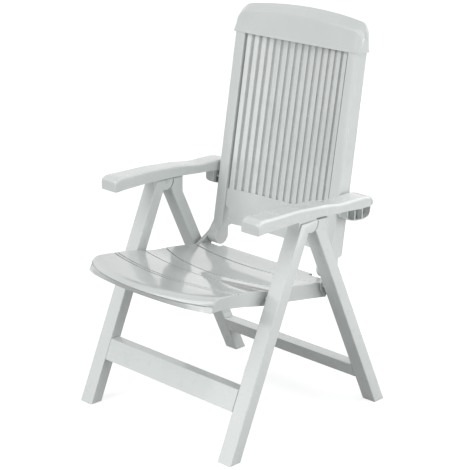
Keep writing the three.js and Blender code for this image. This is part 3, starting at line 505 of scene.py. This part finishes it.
def slat_face(start, floor):
    """One slat's rounded front from its start, with half a groove of the given depth on either side."""
    end = start + SLAT_PITCH - 2 * SLAT_GROOVE_HALF
    foot = SLAT_GROOVE_HALF * GROOVE_FLOOR_SHARE
    wall = min(floor, GROOVE_WALL)
    face = [(start - foot, hollow(start) + floor), (start - GROOVE_SHOULDER, hollow(start) + wall)]
    for share in steps(SLAT_STEPS):
        x = start + share * (end - start)
        near = 1 - min(1.0, min(share, 1 - share) * (end - start) / SLAT_EDGE)
        face.append((x, hollow(x) + SLAT_ROUND * (1 - quarter(near)) - SLAT_PROUD))
    return face + [(end + GROOVE_SHOULDER, hollow(end) + wall), (end + foot, hollow(end) + floor)]


def slat_outline(floor):
    """The slat panel from above: the slats along the front and back along the plain rear face."""
    outline = []
    for i in range(SLATS):
        outline += slat_face(i * SLAT_PITCH - PANEL_HALF + SLAT_GROOVE_HALF, floor)
    rear = [PANEL_HALF * (1 - 2 * s) for s in steps(PANEL_REAR_STEPS)]
    return outline + [(x, hollow(x) + PANEL_THICKNESS) for x in rear]


def slat_panel():
    """Broad grooves between the slats, each with a ladder of fine ribs on its floor."""
    deep, high = slat_outline(SLAT_GROOVE_DEPTH), slat_outline(SLAT_GROOVE_DEPTH - RIB_RISE)
    rings = []
    for i, share in enumerate(steps(RUNGS)):
        z = SLATS_BOTTOM + (SLATS_TOP - SLATS_BOTTOM) * share
        rings.append([put(x, y + stile_front(z), z) for x, y in (high if i % 2 else deep)])
    soften(piece("slat_panel_form", *closed_loft(rings), "backrest", ("back_slat_panel",), "slat_resin"))


def lower_half(z):
    """Half the lower panel's width: round corners at its foot, and a soft step out to the slats' width."""
    if z < LOWER_BOTTOM + LOWER_CORNER:
        return LOWER_HALF - LOWER_CORNER * (1 - quarter((LOWER_BOTTOM + LOWER_CORNER - z) / LOWER_CORNER))
    if z < LOWER_SHOULDER - LOWER_CORNER:
        return LOWER_HALF
    if z < LOWER_SHOULDER:
        share = (z - LOWER_SHOULDER + LOWER_CORNER) / LOWER_CORNER
        return LOWER_HALF + (PANEL_HALF - LOWER_HALF) * (1 - quarter(share)) ** SHOULDER_EASE
    return PANEL_HALF


def lower_panel():
    heights = [LOWER_BOTTOM + LOWER_CORNER * (1 - math.cos(s * math.pi / 2)) for s in steps(8)]
    plain = LOWER_SHOULDER - LOWER_BOTTOM - 2 * LOWER_CORNER
    heights += [LOWER_BOTTOM + LOWER_CORNER + plain * s for s in steps(6)[1:]]
    heights += [LOWER_SHOULDER - LOWER_CORNER + LOWER_CORNER * s for s in steps(10)[1:]]
    heights += [LOWER_SHOULDER + (LOWER_TOP - LOWER_SHOULDER) * s for s in steps(10)[1:]]
    rings = []
    for z in heights:
        across = [lower_half(z) * (2 * s - 1) for s in steps(PANEL_STEPS)]
        front = [put(x, hollow(x) + stile_front(z), z) for x in across]
        rear = [put(x, hollow(x) + PANEL_THICKNESS + stile_front(z), z) for x in reversed(across)]
        rings.append(front + rear)
    item = piece("lower_panel_form", *closed_loft(rings), "backrest", ("back_lower_panel",), "back_resin")
    round_rims(item, LOWER_RIM)


slat_panel()
lower_panel()


# Seat. Across is 0 in the middle of the chair and 1 at the seat's side.

LEG_INNER = side_box("front_leg_left")[0].x
SEAT_LOW, SEAT_HIGH = side_box("seat_panel")
SEAT_CLEARANCE, PIVOT_SETBACK, PIVOT_RISE = 15.0, 15.0, 21.0
SEAT_HALF = LEG_INNER - SEAT_CLEARANCE
SEAT_REAR = BACK_PIVOT.y - PIVOT_SETBACK
SEAT_HEIGHT = BACK_PIVOT.z - PIVOT_RISE
SEAT_WALL, SEAT_EDGE_ROUND, SEAT_SIDE_RISE, SEAT_DISH, SEAT_CREST_DROP = 5.0, 5.0, 55.0, 9.0, 8.0
DISH_REACH_SHARE = 0.9
LIP_REACH, CREST_SETBACK, LIP_TUCK, REAR_TUCK = -SEAT_LOW.y, 30.0, 8.0, 19.0
LIP_RISE, RIDGE_RISE, LIP_BOW_SHARE = 20.0, 37.0, 0.8
LIP_BOTTOM, RIDGE_HEIGHT = SEAT_HEIGHT + LIP_RISE, SEAT_HEIGHT + RIDGE_RISE
RISE_SHARES = ((0, 0), (0.15, 0.07), (0.36, 0.29), (0.53, 0.41), (0.755, 0.77), (1, 1))
FLANGE_SHARES = ((0, 0), (0.35, 0.36), (0.555, 0.54), (0.77, 0.83), (0.92, 1), (1, 1))
FLANGE_ROWS, REAR_STEPS, PLAIN_STEPS, NOSE_STEPS, LIP_STEPS = 4, 4, 8, 12, 5
REAR_ROUND = 3.0
REAR_ROUND_SPOTS = ((0.2, 2.2), (1.2, 0.5))
CREASE_DEPTH, CREASE_TOP, CREASE_FOOT, CREASE_END, CREASE_FADE = 2.0, 1.0, 2.4, 3.4, 12

Groove = namedtuple("Groove", "middle_share side_share size")
GROOVES = [Groove(*row) for row in (
    (0.181, 0.113, 1.4), (0.445, 0.345, 1.0), (0.567, 0.51, 1.0), (0.766, 0.714, 1.0), (0.79, 0.738, 1.0),
)]
SEAT_GROOVE_HALF, SEAT_GROOVE_DEPTH, GROOVE_STEEPNESS = 2.7, 2.8, 2.2
GROOVE_MARK_SHARES = (1.0, 0.82, 0.56, 0.2, -0.2, -0.56, -0.82, -1.0)

LUG_RADIUS, NOTCH_SIDE_GAP, NOTCH_FRONT_GAP = 26.0, 19.0, 5.0
EAR_THICKNESS, EAR_RADIUS, EAR_SINK, EAR_RIM, BOSS_RADIUS = 13.0, 12.0, 0.3, 1.4, 10.0
EAR_START, EAR_END, EAR_STEPS = -math.pi / 3, math.pi * 3 / 5, 20
NOTCH_IN, NOTCH_OUT = STILE_INNER - NOTCH_SIDE_GAP, SEAT_HIGH.x - EAR_THICKNESS
NOTCH_FRONT = BACK_PIVOT.y - LUG_RADIUS - NOTCH_FRONT_GAP
EDGE_SHARES = (0.976, 0.982, 0.988, 0.994, 0.998, 1.0)
INSIDE_STEPS, NOTCH_STEPS = 22, 9

seat_rise = smooth_shares(RISE_SHARES)


def lip_front(across):
    """The lip bows forward in the middle and swings back ever faster toward the sides."""
    return LIP_REACH * (across ** 2 * LIP_BOW_SHARE + across ** 8 * (1 - LIP_BOW_SHARE) - 1)


def flange_bottom(y):
    low = SEAT_LOW.z
    share = (SEAT_REAR - REAR_TUCK - y) / (SEAT_REAR - REAR_TUCK)
    return low + (LIP_BOTTOM - low) * read_shares(FLANGE_SHARES, max(0.0, share))


def groove_centre(groove, across):
    """Grooves bow: each reaches farther forward in the middle than at the sides."""
    share = groove.middle_share + (groove.side_share - groove.middle_share) * across * across
    return SEAT_REAR - share * (SEAT_REAR + LIP_REACH)


def groove_dip(y, across):
    dip = 0.0
    for groove in GROOVES:
        off = abs(y - groove_centre(groove, across)) / SEAT_GROOVE_HALF / groove.size
        if off < 1:
            dip = max(dip, groove.size * SEAT_GROOVE_DEPTH * min(1.0, (1 - off) * GROOVE_STEEPNESS))
    return dip


def seat_top(y, across):
    """Height of the top, without its grooves: it rises to the crest, and is dished between the sides."""
    share = (SEAT_REAR - y) / (SEAT_REAR - CREST_SETBACK)
    side = SEAT_HEIGHT + SEAT_SIDE_RISE * seat_rise(min(1.0, share))
    dish = SEAT_DISH * math.sin(math.pi * clamp(share * DISH_REACH_SHARE))
    middle = 1 - across * across
    drop = SEAT_CREST_DROP * middle * clamp(share) ** 4
    rim = max(0.0, (across - 1) * SEAT_HALF / SEAT_EDGE_ROUND + 1)
    return side - dish * middle - drop - SEAT_EDGE_ROUND * (1 - quarter(rim)) / 2


def seat_stations(across):
    """Places along the top from the rear edge to the crest: thick at the grooves, alike on every section."""
    stations = [SEAT_REAR]

    def stretch(end):
        start = stations[-1]
        stations.extend([start + (end - start) * s for s in steps(PLAIN_STEPS)[1:]])

    for groove in GROOVES:
        centre, half = groove_centre(groove, across), SEAT_GROOVE_HALF * groove.size
        marks = [centre + share * half for share in GROOVE_MARK_SHARES]
        stretch(marks[0])
        stations.extend(marks[1:])
    stretch(lip_front(across) + CREST_SETBACK)
    return stations


def seat_rear_spots(across):
    """Up the rear face and over its rounded edge."""
    top = seat_top(SEAT_REAR, across)
    foot_y, foot_z = SEAT_REAR - REAR_TUCK, flange_bottom(SEAT_REAR - REAR_TUCK)
    rise = top - REAR_ROUND - foot_z
    face = [(foot_y + REAR_TUCK * s, foot_z + rise * s) for s in steps(REAR_STEPS)[:-1]]
    return face + [(SEAT_REAR - back, top - down) for back, down in REAR_ROUND_SPOTS]


def seat_lip_spots(across, marked):
    """Down the lip from its ridge, past the crease, to its foot."""
    lip = lip_front(across)
    foot = lip + LIP_TUCK - (LIP_TUCK + CREST_SETBACK / 3) * across * across
    crease = CREASE_DEPTH * min(1.0, (1 - across) * CREASE_FADE) if marked else 0.0
    start = RIDGE_HEIGHT - CREASE_END
    spots = [
        (lip + crease, RIDGE_HEIGHT - CREASE_TOP),
        (lip + crease, RIDGE_HEIGHT - CREASE_FOOT),
        (lip + crease / 10, start),
    ]
    return spots + [(lip + (foot - lip) * s, start + (LIP_BOTTOM - start) * s) for s in steps(LIP_STEPS)[1:]]


def seat_path(across, marked):
    """Up the rear face, over the top, round the nose and down the lip; marked with its grooves, or plain."""
    spots = seat_rear_spots(across)
    for y in seat_stations(across)[1:]:
        spots.append((y, seat_top(y, across) - (groove_dip(y, across) if marked else 0.0)))
    lip = lip_front(across)
    crest = (lip + CREST_SETBACK, seat_top(lip + CREST_SETBACK, across))
    spots += bezier(crest, (lip + LIP_TUCK / 2, crest[1]), (lip, RIDGE_HEIGHT), NOSE_STEPS)[1:]
    return spots + seat_lip_spots(across, marked)


def inner_path(path, wall):
    """The path moved in by the wall's thickness."""
    moved = []
    for k, (y, z) in enumerate(path):
        before, after = path[max(k - 1, 0)], path[min(k + 1, len(path) - 1)]
        along_y, along_z = after[0] - before[0], after[1] - before[1]
        size = math.hypot(along_y, along_z)
        moved.append((y - wall * along_z / size, z + wall * along_y / size))
    return moved


def seat_shares():
    """Sections across the seat: at the notches' sides, and crowded over the rounded edge."""
    inside = [NOTCH_IN / SEAT_HALF * s for s in steps(INSIDE_STEPS)]
    notch = [(NOTCH_IN + (NOTCH_OUT - NOTCH_IN) * s) / SEAT_HALF for s in steps(NOTCH_STEPS)]
    half = sorted({round(s, 5) for s in (*inside, *notch, *EDGE_SHARES)})
    return [-s for s in reversed(half[1:])] + half


def seat_skin(shares, paths, reach):
    """Points of the top and of both sides; a side hangs in rows from the section at its end."""
    verts = []
    for s, path in zip(shares, paths):
        verts += [(s * reach, y, z) for y, z in path]
    for sign, path in ((-1, paths[0]), (1, paths[-1])):
        first, last = path[0], path[-1]
        for k, (y, z) in enumerate(path):
            inside = min(max(y, last[0]), first[0])
            foot = min(flange_bottom(inside) if k < len(path) - 1 else LIP_BOTTOM, z)
            for row in range(1, FLANGE_ROWS + 1):
                share = row / FLANGE_ROWS
                verts.append((sign * reach, y + (inside - y) * share, z + (foot - z) * share))
    return [put(*spot) for spot in verts]


def seat_top_faces(shares, paths):
    """Faces between the sections, left open at the two notches for the stiles."""
    count = len(paths[0])
    rear_face = REAR_STEPS + len(REAR_ROUND_SPOTS)
    faces = []
    for i in range(len(shares) - 1):
        middle = abs(shares[i] + shares[i + 1]) / 2 * SEAT_HALF
        for k in range(count - 1):
            y = (paths[i][k][0] + paths[i][k + 1][0]) / 2
            if NOTCH_IN < middle < NOTCH_OUT and (y > NOTCH_FRONT or k < rear_face):
                continue
            a = i * count + k
            faces.append((a, a + 1, a + 1 + count, a + count))
    return faces


def seat_side_faces(sections, count):
    """Faces of both side flanges, in the order in which seat_skin makes their points."""
    faces = []
    for side, end in enumerate((0, sections - 1)):
        start = (sections + side * FLANGE_ROWS) * count

        def spot(k, row):
            return end * count + k if row == 0 else start + k * FLANGE_ROWS + row - 1

        for k in range(count - 1):
            for row in range(FLANGE_ROWS):
                quad = (spot(k, row), spot(k + 1, row), spot(k + 1, row + 1), spot(k, row + 1))
                faces.append(quad if side == 1 else quad[::-1])
    return faces


def open_edges(faces):
    """Edges that only one face has."""
    uses = {}
    for face in faces:
        for a, b in zip(face, face[1:] + face[:1]):
            edge = (min(a, b), max(a, b))
            uses[edge] = uses.get(edge, 0) + 1
    return [edge for edge, count in uses.items() if count == 1]


def clean_mesh(mesh):
    """Takes out faces without area, and turns every face outward."""
    shape = bmesh.new()
    shape.from_mesh(mesh)
    bmesh.ops.dissolve_degenerate(shape, edges=shape.edges, dist=2 * SAME_SPOT)
    bmesh.ops.recalc_face_normals(shape, faces=shape.faces)
    shape.to_mesh(mesh)
    shape.free()


def seat():
    """The moulded seat: an outer skin, an inner skin one wall further in, and rims between them."""
    shares = seat_shares()
    marked = [seat_path(abs(s), True) for s in shares]
    plain = [inner_path(seat_path(abs(s), False), SEAT_WALL) for s in shares]
    outer = seat_skin(shares, marked, SEAT_HALF)
    inner = seat_skin(shares, plain, SEAT_HALF - SEAT_WALL)
    faces = seat_top_faces(shares, marked) + seat_side_faces(len(shares), len(marked[0]))
    rims = [(a, b, b + len(outer), a + len(outer)) for a, b in open_edges(faces)]
    faces += [tuple(k + len(outer) for k in reversed(face)) for face in faces] + rims
    item = piece("seat_form", outer + inner, faces, "seat", ("seat_panel",), "seat_resin")
    clean_mesh(item.data)
    soften(item)


def ears():
    """The two round lugs behind the flanges that hold the back's hinge."""
    rear_pin = pin_centre("seat_rear_pin_left")
    front_y, low_y = rear_pin.y - BOSS_RADIUS, SEAT_REAR - REAR_TUCK - SEAT_WALL
    outline = [(front_y, rear_pin.z - BOSS_RADIUS), (low_y, flange_bottom(low_y) + EAR_SINK)]
    outline += arc(BACK_PIVOT, EAR_RADIUS, EAR_START, EAR_END, EAR_STEPS)
    outline += [(front_y, seat_top(front_y, 1) - EAR_SINK)]
    for sign, side in ((1, "left"), (-1, "right")):
        x0, x1 = sorted((sign * NOTCH_OUT, sign * SEAT_HIGH.x))
        ear = piece(f"seat_ear_{side}", *prism(outline, x0, x1), "seat", (), "seat_resin")
        round_rims(ear, EAR_RIM)


seat()
ears()


# Armrests: a hollow shell, and under its rear end a toothed comb, a web, three plates and a rim

ARM_PIVOT = pin_centre("arm_pivot_pin_left")
LOCK_PIN = pin_centre("lock_pin_left")
ARM_LOW, ARM_HIGH = side_box("armrest_left")
ARM_MIDDLE, ARM_HALF = (ARM_LOW.x + ARM_HIGH.x) / 2, (ARM_HIGH.x - ARM_LOW.x) / 2
COMB_TAIL, ARM_TOP_RISE, ARM_REAR_DROP = 8.5, 26.0, 24.0
ARM_START, ARM_END = ARM_LOW.y, ARM_HIGH.y - COMB_TAIL
ARM_LENGTH = ARM_END - ARM_START
ARM_TOP, ARM_REAR_BOTTOM = ARM_PIVOT.z + ARM_TOP_RISE, ARM_PIVOT.z - ARM_REAR_DROP
ARM_TOP_DROP, ARM_BOTTOM_RISE, ARM_WALL, ARM_ROUND = 19.0, 16.0, 4.0, 8.0
NOSE_CORNER, TAIL_LENGTH, TAIL_HALF = 5.0, 38.0, 7.0
NOSE_STATIONS = (0.0, 0.4, 1.0, 1.8, 2.8, 4.0, 5.2)
ARM_STEPS, TAIL_STEPS = 44, 14
ARM_TOP_SHARES = (
    (0, 0.55), (0.012, 0.22), (0.03, 0), (0.17, 0.05), (0.33, 0.1), (0.44, 0.3), (0.56, 0.53), (0.645, 0.84),
    (0.71, 1), (0.88, 1), (0.92, 1.12), (0.955, 1.4), (0.985, 1.9), (1, 2.3),
)
ARM_BOTTOM_SHARES = (
    (0, 0.75), (0.06, 0.88), (0.22, 1), (0.39, 1), (0.52, 0.8), (0.69, 0.4), (0.77, 0.25), (0.86, 0), (1, 0),
)

LOCK_ARM = round(math.hypot(LOCK_PIN.y - BACK_PIVOT.y, LOCK_PIN.z - BACK_PIVOT.z), DIGITS)
LOCK_ANGLE, NOTCH_ANGLE = 81.6, 4
NOTCHES = 7
SLOT_HALF, TOOTH_GAP = 3.8, 0.3
FIRST_TOOTH_REACH, TOOTH_REACH, TOOTH_TIP = 8.0, 9.0, 0.4
COMB_FRONT_MARGIN, COMB_TOP_DROP, TAIL_DROP_SHARE = 17.0, 13.0, 0.26
RACK_FRONT, RACK_REAR = LOCK_PIN.y - COMB_FRONT_MARGIN, ARM_HIGH.y
RACK_LENGTH = RACK_REAR - RACK_FRONT
COMB_TOP = ARM_PIVOT.z - COMB_TOP_DROP
COMB_DROP = COMB_TOP - ARM_LOW.z
RACK_EDGE_SHARES = (
    (0, 0.61), (0.04, 0.74), (0.14, 0.86), (0.31, 0.94), (0.48, 0.98), (0.65, 1), (0.82, 0.98), (0.92, 0.91),
    (0.985, 0.74), (1, 0.5),
)
TAIL_SETBACK, TAIL_LAP, WEB_SETBACK = 4.0, 4.0, 11.52
RACK_TAIL = (RACK_REAR - TAIL_SETBACK, COMB_TOP - COMB_DROP * TAIL_DROP_SHARE)
RACK_END = (ARM_END - TAIL_LENGTH + TAIL_LAP, COMB_TOP)
COMB_GAP, COMB_THICKNESS, WEB_THICKNESS, RACK_WIDTH, LAP = 0.3, 11.5, 3.0, 34.0, 0.1
COMB_INNER, COMB_OUTER = ARM_LOW.x + COMB_GAP, ARM_LOW.x + COMB_THICKNESS
WEB_OUTER, RACK_OUTER = COMB_OUTER + WEB_THICKNESS, ARM_LOW.x + RACK_WIDTH
PLATES, PLATE_THICKNESS, PLATE_PITCH, PLATE_DROP = 3, 4.0, 31.0, 9.0
PLATE_TOP = COMB_TOP - PLATE_DROP
RACK_MARGIN, RIM_REAR_MARGIN, RIM_WALL, PLATE_SINK, RIM_SINK = 1.0, 0.2, 2.4, 0.3, 0.2
RIM_TAIL_SPOTS = ((1.5, 22.0), (5.0, 15.0), (10.02, 9.5))
WEB_TAIL = (RACK_REAR - WEB_SETBACK, PLATE_TOP)
COMB_RIM, WEB_RIM, PLATE_RIM = 0.5, 0.4, 0.8
SLOT_STEPS, FOOT_STEPS, WEB_STEPS, RIM_STEPS = 8, 6, 30, 36

arm_drop = smooth_shares(ARM_TOP_SHARES)


def arm_section(y):
    """From one hem up, over the rounded top and down to the other hem."""
    share = (y - ARM_START) / ARM_LENGTH
    nose = max(0.0, 1 - (y - ARM_START) / NOSE_CORNER)
    tail = max(0.0, 1 - (ARM_END - y) / TAIL_LENGTH)
    half = TAIL_HALF + (ARM_HALF - TAIL_HALF) * quarter(tail) - NOSE_CORNER * (1 - quarter(nose))
    top = ARM_TOP - ARM_TOP_DROP * arm_drop(share)
    bottom = ARM_REAR_BOTTOM + ARM_BOTTOM_RISE * read_shares(ARM_BOTTOM_SHARES, share)
    turn = min(ARM_ROUND, (top - bottom) / 2, half / 2)
    side = [(-half, bottom + (top - turn - bottom) * s) for s in steps(4)]
    for angle in [s * math.pi / 2 for s in steps(7)[1:]]:
        side.append((-half + turn * (1 - math.cos(angle)), top - turn + turn * math.sin(angle)))
    across = [(-half + turn + 2 * (half - turn) * s, top) for s in steps(6)[1:-1]]
    return side + across + [(-x, z) for x, z in reversed(side)]


def arm_stations():
    """Places along the arm: close together over its rounded nose and its narrowing tail."""
    plain = ARM_LENGTH - TAIL_LENGTH - NOSE_STATIONS[-1]
    stations = [*NOSE_STATIONS, *[NOSE_STATIONS[-1] + plain * s for s in steps(ARM_STEPS)[1:]]]
    stations += [ARM_LENGTH - TAIL_LENGTH * (1 - math.sin(s * math.pi / 2)) for s in steps(TAIL_STEPS)[1:]]
    return [ARM_START + along for along in stations]


def arm_mesh(sign):
    """The outer skin, open below, with a face over each end."""
    rings = [[put(sign * (ARM_MIDDLE + x), y, z) for x, z in arm_section(y)] for y in arm_stations()]
    verts, faces = open_loft(rings)
    count = len(rings[0])
    for base in (0, (len(rings) - 1) * count):
        for k in range(count // 2 - 1):
            faces.append((base + k, base + k + 1, base + count - 2 - k, base + count - 1 - k))
    return verts, faces


def lock_spot(index):
    """Where the lock pin stands in a notch, the first one with the back upright."""
    angle = math.radians(LOCK_ANGLE - NOTCH_ANGLE * index)
    return SideSpot(BACK_PIVOT.y + LOCK_ARM * math.cos(angle), BACK_PIVOT.z + LOCK_ARM * math.sin(angle))


def rack_bottom(y):
    return COMB_TOP - COMB_DROP * read_shares(RACK_EDGE_SHARES, (y - RACK_FRONT) / RACK_LENGTH)


def rack_foot(start, end, count):
    """The rack's lower edge from start to end."""
    places = [start + (end - start) * s for s in steps(count)]
    return [(y, rack_bottom(y)) for y in places]


def slot_front(spot, height):
    """The front wall of a slot at a height: it leans, because the arm swings about its pivot."""
    slope = (ARM_PIVOT.z - spot.z) / (spot.y - ARM_PIVOT.y)
    return spot.y - SLOT_HALF - TOOTH_GAP - slope * (spot.z - height)


def tooth(rear, following):
    """The tooth between a slot's rear wall and the slot that follows: pointed, or blunt along the foot."""
    slope = (ARM_PIVOT.z - following.z) / (following.y - ARM_PIVOT.y)
    tip = following.z - (following.y - SLOT_HALF - TOOTH_GAP - rear) / slope
    if tip > rack_bottom(rear):
        return [(rear, tip)]
    meet = max(slot_front(following, rack_bottom(following.y - TOOTH_REACH)), rear + TOOTH_TIP)
    return [(rear, rack_bottom(rear)), (meet, rack_bottom(meet))]


def comb_outline():
    """The comb's side view, front to rear along its foot with the slots, and back along the top."""
    spots = [lock_spot(i) for i in range(NOTCHES)]
    first_front = slot_front(spots[0], rack_bottom(spots[0].y - FIRST_TOOTH_REACH))
    outline = [(RACK_FRONT, COMB_TOP), *rack_foot(RACK_FRONT, first_front, FOOT_STEPS)]
    for i, spot in enumerate(spots):
        outline += arc(spot, SLOT_HALF, math.pi, 0.0, SLOT_STEPS)
        rear = spot.y + SLOT_HALF
        outline += tooth(rear, spots[i + 1]) if i + 1 < NOTCHES else rack_foot(rear, RACK_REAR, SLOT_STEPS)
    return outline + [RACK_TAIL, RACK_END]


def web_outline():
    """The thin wall beside the comb, with a plain foot."""
    foot = rack_foot(RACK_FRONT, RACK_REAR, WEB_STEPS)
    return [(RACK_FRONT, COMB_TOP), *foot, RACK_TAIL, WEB_TAIL, RACK_END]


def plate_outline(index):
    """One of the cross plates between the web and the rack's outer face."""
    front = RACK_FRONT + RACK_MARGIN + PLATE_PITCH * index
    rear = front + PLATE_THICKNESS
    foot = [(y, rack_bottom(y) + PLATE_SINK) for y in (front, rear)]
    return [(front, PLATE_TOP), *foot, (rear, PLATE_TOP)]


def rim_outline():
    """A thin rim along the rack's foot, and up its rear end to the arm's tail."""
    start, end = RACK_FRONT + RACK_MARGIN, RACK_REAR - RIM_REAR_MARGIN
    foot = [(y, z + RIM_SINK) for y, z in rack_foot(start, end, RIM_STEPS)]
    foot += [(RACK_REAR - back, COMB_TOP - down) for back, down in RIM_TAIL_SPOTS]
    return foot + inner_path(foot, RIM_WALL)[::-1]


def armrest(side):
    sign = 1 if side == "left" else -1
    body = f"arm_{side}"
    shell = piece(f"armrest_{side}_shell", *arm_mesh(sign), body, (f"armrest_{side}",), "arm_resin")
    thick = shell.modifiers.new("wall", "SOLIDIFY")
    thick.thickness = ARM_WALL * MM
    thick.offset = -1
    soften(shell)

    # The comb and web take the resin with heavy painted shade.
    parts = [
        ("comb", comb_outline(), COMB_INNER, COMB_OUTER, "rack_resin", COMB_RIM),
        ("web", web_outline(), COMB_OUTER - LAP, WEB_OUTER, "rack_resin", WEB_RIM),
    ]
    for i in range(PLATES):
        plate = (f"plate_{i + 1}", plate_outline(i), WEB_OUTER - LAP, RACK_OUTER, "arm_resin", PLATE_RIM)
        parts.append(plate)
    parts.append(("rim", rim_outline(), WEB_OUTER - LAP, RACK_OUTER, "arm_resin", PLATE_RIM))
    for name, outline, inner, outer, finish, rim in parts:
        item = piece(f"armrest_{side}_{name}", *prism(outline, sign * inner, sign * outer), body, (), finish)
        round_rims(item, rim, 2)


armrest("left")
armrest("right")


# Floor and background

FLOOR_REACH = 30.0
FLOOR_BOUNCE, FLOOR_SEEN, FLOOR_GLOW = 0.38, 0.60, 0.68
SKY_LOW, SKY_HIGH, SKY_TURN = 0.36, 0.26, 0.6
SKY_TINT = (0.965, 0.985, 1.0, 1)


def white_rays(tree):
    """1 for the rays that show the background itself: from the camera, off gloss and through glass."""
    path = node_of(tree, "ShaderNodeLightPath")
    total = path.outputs["Is Camera Ray"]
    for name in ("Is Glossy Ray", "Is Transmission Ray"):
        total = combined(tree, "MAXIMUM", total, path.outputs[name])
    return total


def chosen(tree, factor, first, second, leave):
    """Leads the second shader to the output where the factor is 1, and the first elsewhere."""
    choice = node_of(tree, "ShaderNodeMixShader")
    tree.links.new(factor, choice.inputs[0])
    tree.links.new(first, choice.inputs[1])
    tree.links.new(second, choice.inputs[2])
    tree.links.new(choice.outputs[0], leave.inputs["Surface"])


def floor_material():
    """Pale to the camera, with the chair's shadow on it, and greyer in the light that it throws back."""
    material = bpy.data.materials.new("floor_white")
    material.use_nodes = True
    tree = material.node_tree
    surface = tree.nodes["Principled BSDF"]
    surface.inputs["Base Color"].default_value = (FLOOR_BOUNCE, FLOOR_BOUNCE, FLOOR_BOUNCE, 1)
    surface.inputs["Roughness"].default_value = 1.0
    surface.inputs["Specular IOR Level"].default_value = 0.0
    seen = node_of(tree, "ShaderNodeBsdfDiffuse")
    seen.inputs["Color"].default_value = (FLOOR_SEEN, FLOOR_SEEN, FLOOR_SEEN, 1)
    glow = node_of(tree, "ShaderNodeEmission")
    glow.inputs["Strength"].default_value = FLOOR_GLOW
    lit = node_of(tree, "ShaderNodeAddShader")
    tree.links.new(seen.outputs[0], lit.inputs[0])
    tree.links.new(glow.outputs[0], lit.inputs[1])
    camera_rays = node_of(tree, "ShaderNodeLightPath").outputs["Is Camera Ray"]
    chosen(tree, camera_rays, surface.outputs[0], lit.outputs[0], tree.nodes["Material Output"])
    return material


def stage_floor():
    mesh = bpy.data.meshes.new("floor")
    corners = [(x * FLOOR_REACH, y * FLOOR_REACH, 0.0) for x, y in ((-1, -1), (1, -1), (1, 1), (-1, 1))]
    mesh.from_pydata(corners, [], [(0, 1, 2, 3)])
    floor = bpy.data.objects.new("floor", mesh)
    bpy.context.collection.objects.link(floor)
    mesh.materials.append(floor_material())


def set_world():
    """A room that is lighter near the ground than overhead; the background itself shows white."""
    world = bpy.data.worlds.new("studio")
    bpy.context.scene.world = world
    world.use_nodes = True
    tree = world.node_tree
    parts = node_of(tree, "ShaderNodeSeparateXYZ")
    tree.links.new(node_of(tree, "ShaderNodeTexCoord").outputs["Generated"], parts.inputs[0])
    level = spread(tree, parts.outputs["Z"], SKY_LOW, SKY_HIGH, start=0.0, end=SKY_TURN)
    soft = tree.nodes["Background"]
    soft.inputs["Color"].default_value = SKY_TINT
    tree.links.new(level, soft.inputs["Strength"])
    white = node_of(tree, "ShaderNodeBackground")
    white.inputs["Color"].default_value = (1, 1, 1, 1)
    white.inputs["Strength"].default_value = 1.0
    chosen(tree, white_rays(tree), soft.outputs[0], white.outputs[0], tree.nodes["World Output"])


# Lamps and camera

def add_sun(name, heading, strength, spread_angle):
    """A soft sun whose light comes from the heading."""
    lamp = bpy.data.lights.new(name, "SUN")
    lamp.energy = strength
    lamp.angle = math.radians(spread_angle)
    holder = bpy.data.objects.new(name, lamp)
    holder.rotation_euler = Vector(heading).to_track_quat("Z", "Y").to_euler()
    bpy.context.collection.objects.link(holder)


def add_softbox(name, place, aim, power, size):
    lamp = bpy.data.lights.new(name, "AREA")
    lamp.shape = "SQUARE"
    lamp.size = size
    lamp.energy = power
    holder = bpy.data.objects.new(name, lamp)
    holder.location = place
    holder.rotation_euler = (Vector(place) - Vector(aim)).to_track_quat("Z", "Y").to_euler()
    bpy.context.collection.objects.link(holder)


def set_camera():
    """The photograph's view, with its slight roll."""
    data = bpy.data.cameras.new("camera")
    data.lens = CAMERA_LENS
    data.sensor_width = SENSOR
    data.sensor_fit = "AUTO"
    data.clip_end = CAMERA_REACH
    camera = bpy.data.objects.new("camera", data)
    bpy.context.collection.objects.link(camera)
    back = (CAMERA_PLACE - CAMERA_TARGET).normalized()
    right = (-back).cross(Vector((0, 0, 1))).normalized()
    up = right.cross(-back)
    c, s = math.cos(CAMERA_ROLL), math.sin(CAMERA_ROLL)
    across = right * c + up * s
    upward = up * c - right * s
    turn = Matrix((across, upward, back)).transposed().to_4x4()
    camera.matrix_world = Matrix.Translation(CAMERA_PLACE) @ turn
    bpy.context.scene.camera = camera


stage_floor()
set_world()
add_softbox("key", place=(2.0, 0.55, 0.85), aim=(0.1, 0.0, 0.5), power=23.0, size=1.8)
add_softbox("front_low", place=(-0.50, -2.40, 0.42), aim=(0.0, 0.0, 0.35), power=21.0, size=2.2)
add_sun("front", heading=(-0.20, -0.70, 0.68), strength=0.34 * math.pi, spread_angle=50)
add_sun("rear", heading=(0.22, 0.66, 0.72), strength=0.26 * math.pi, spread_angle=60)
set_camera()
bpy.context.scene.view_settings.view_transform = "Standard"
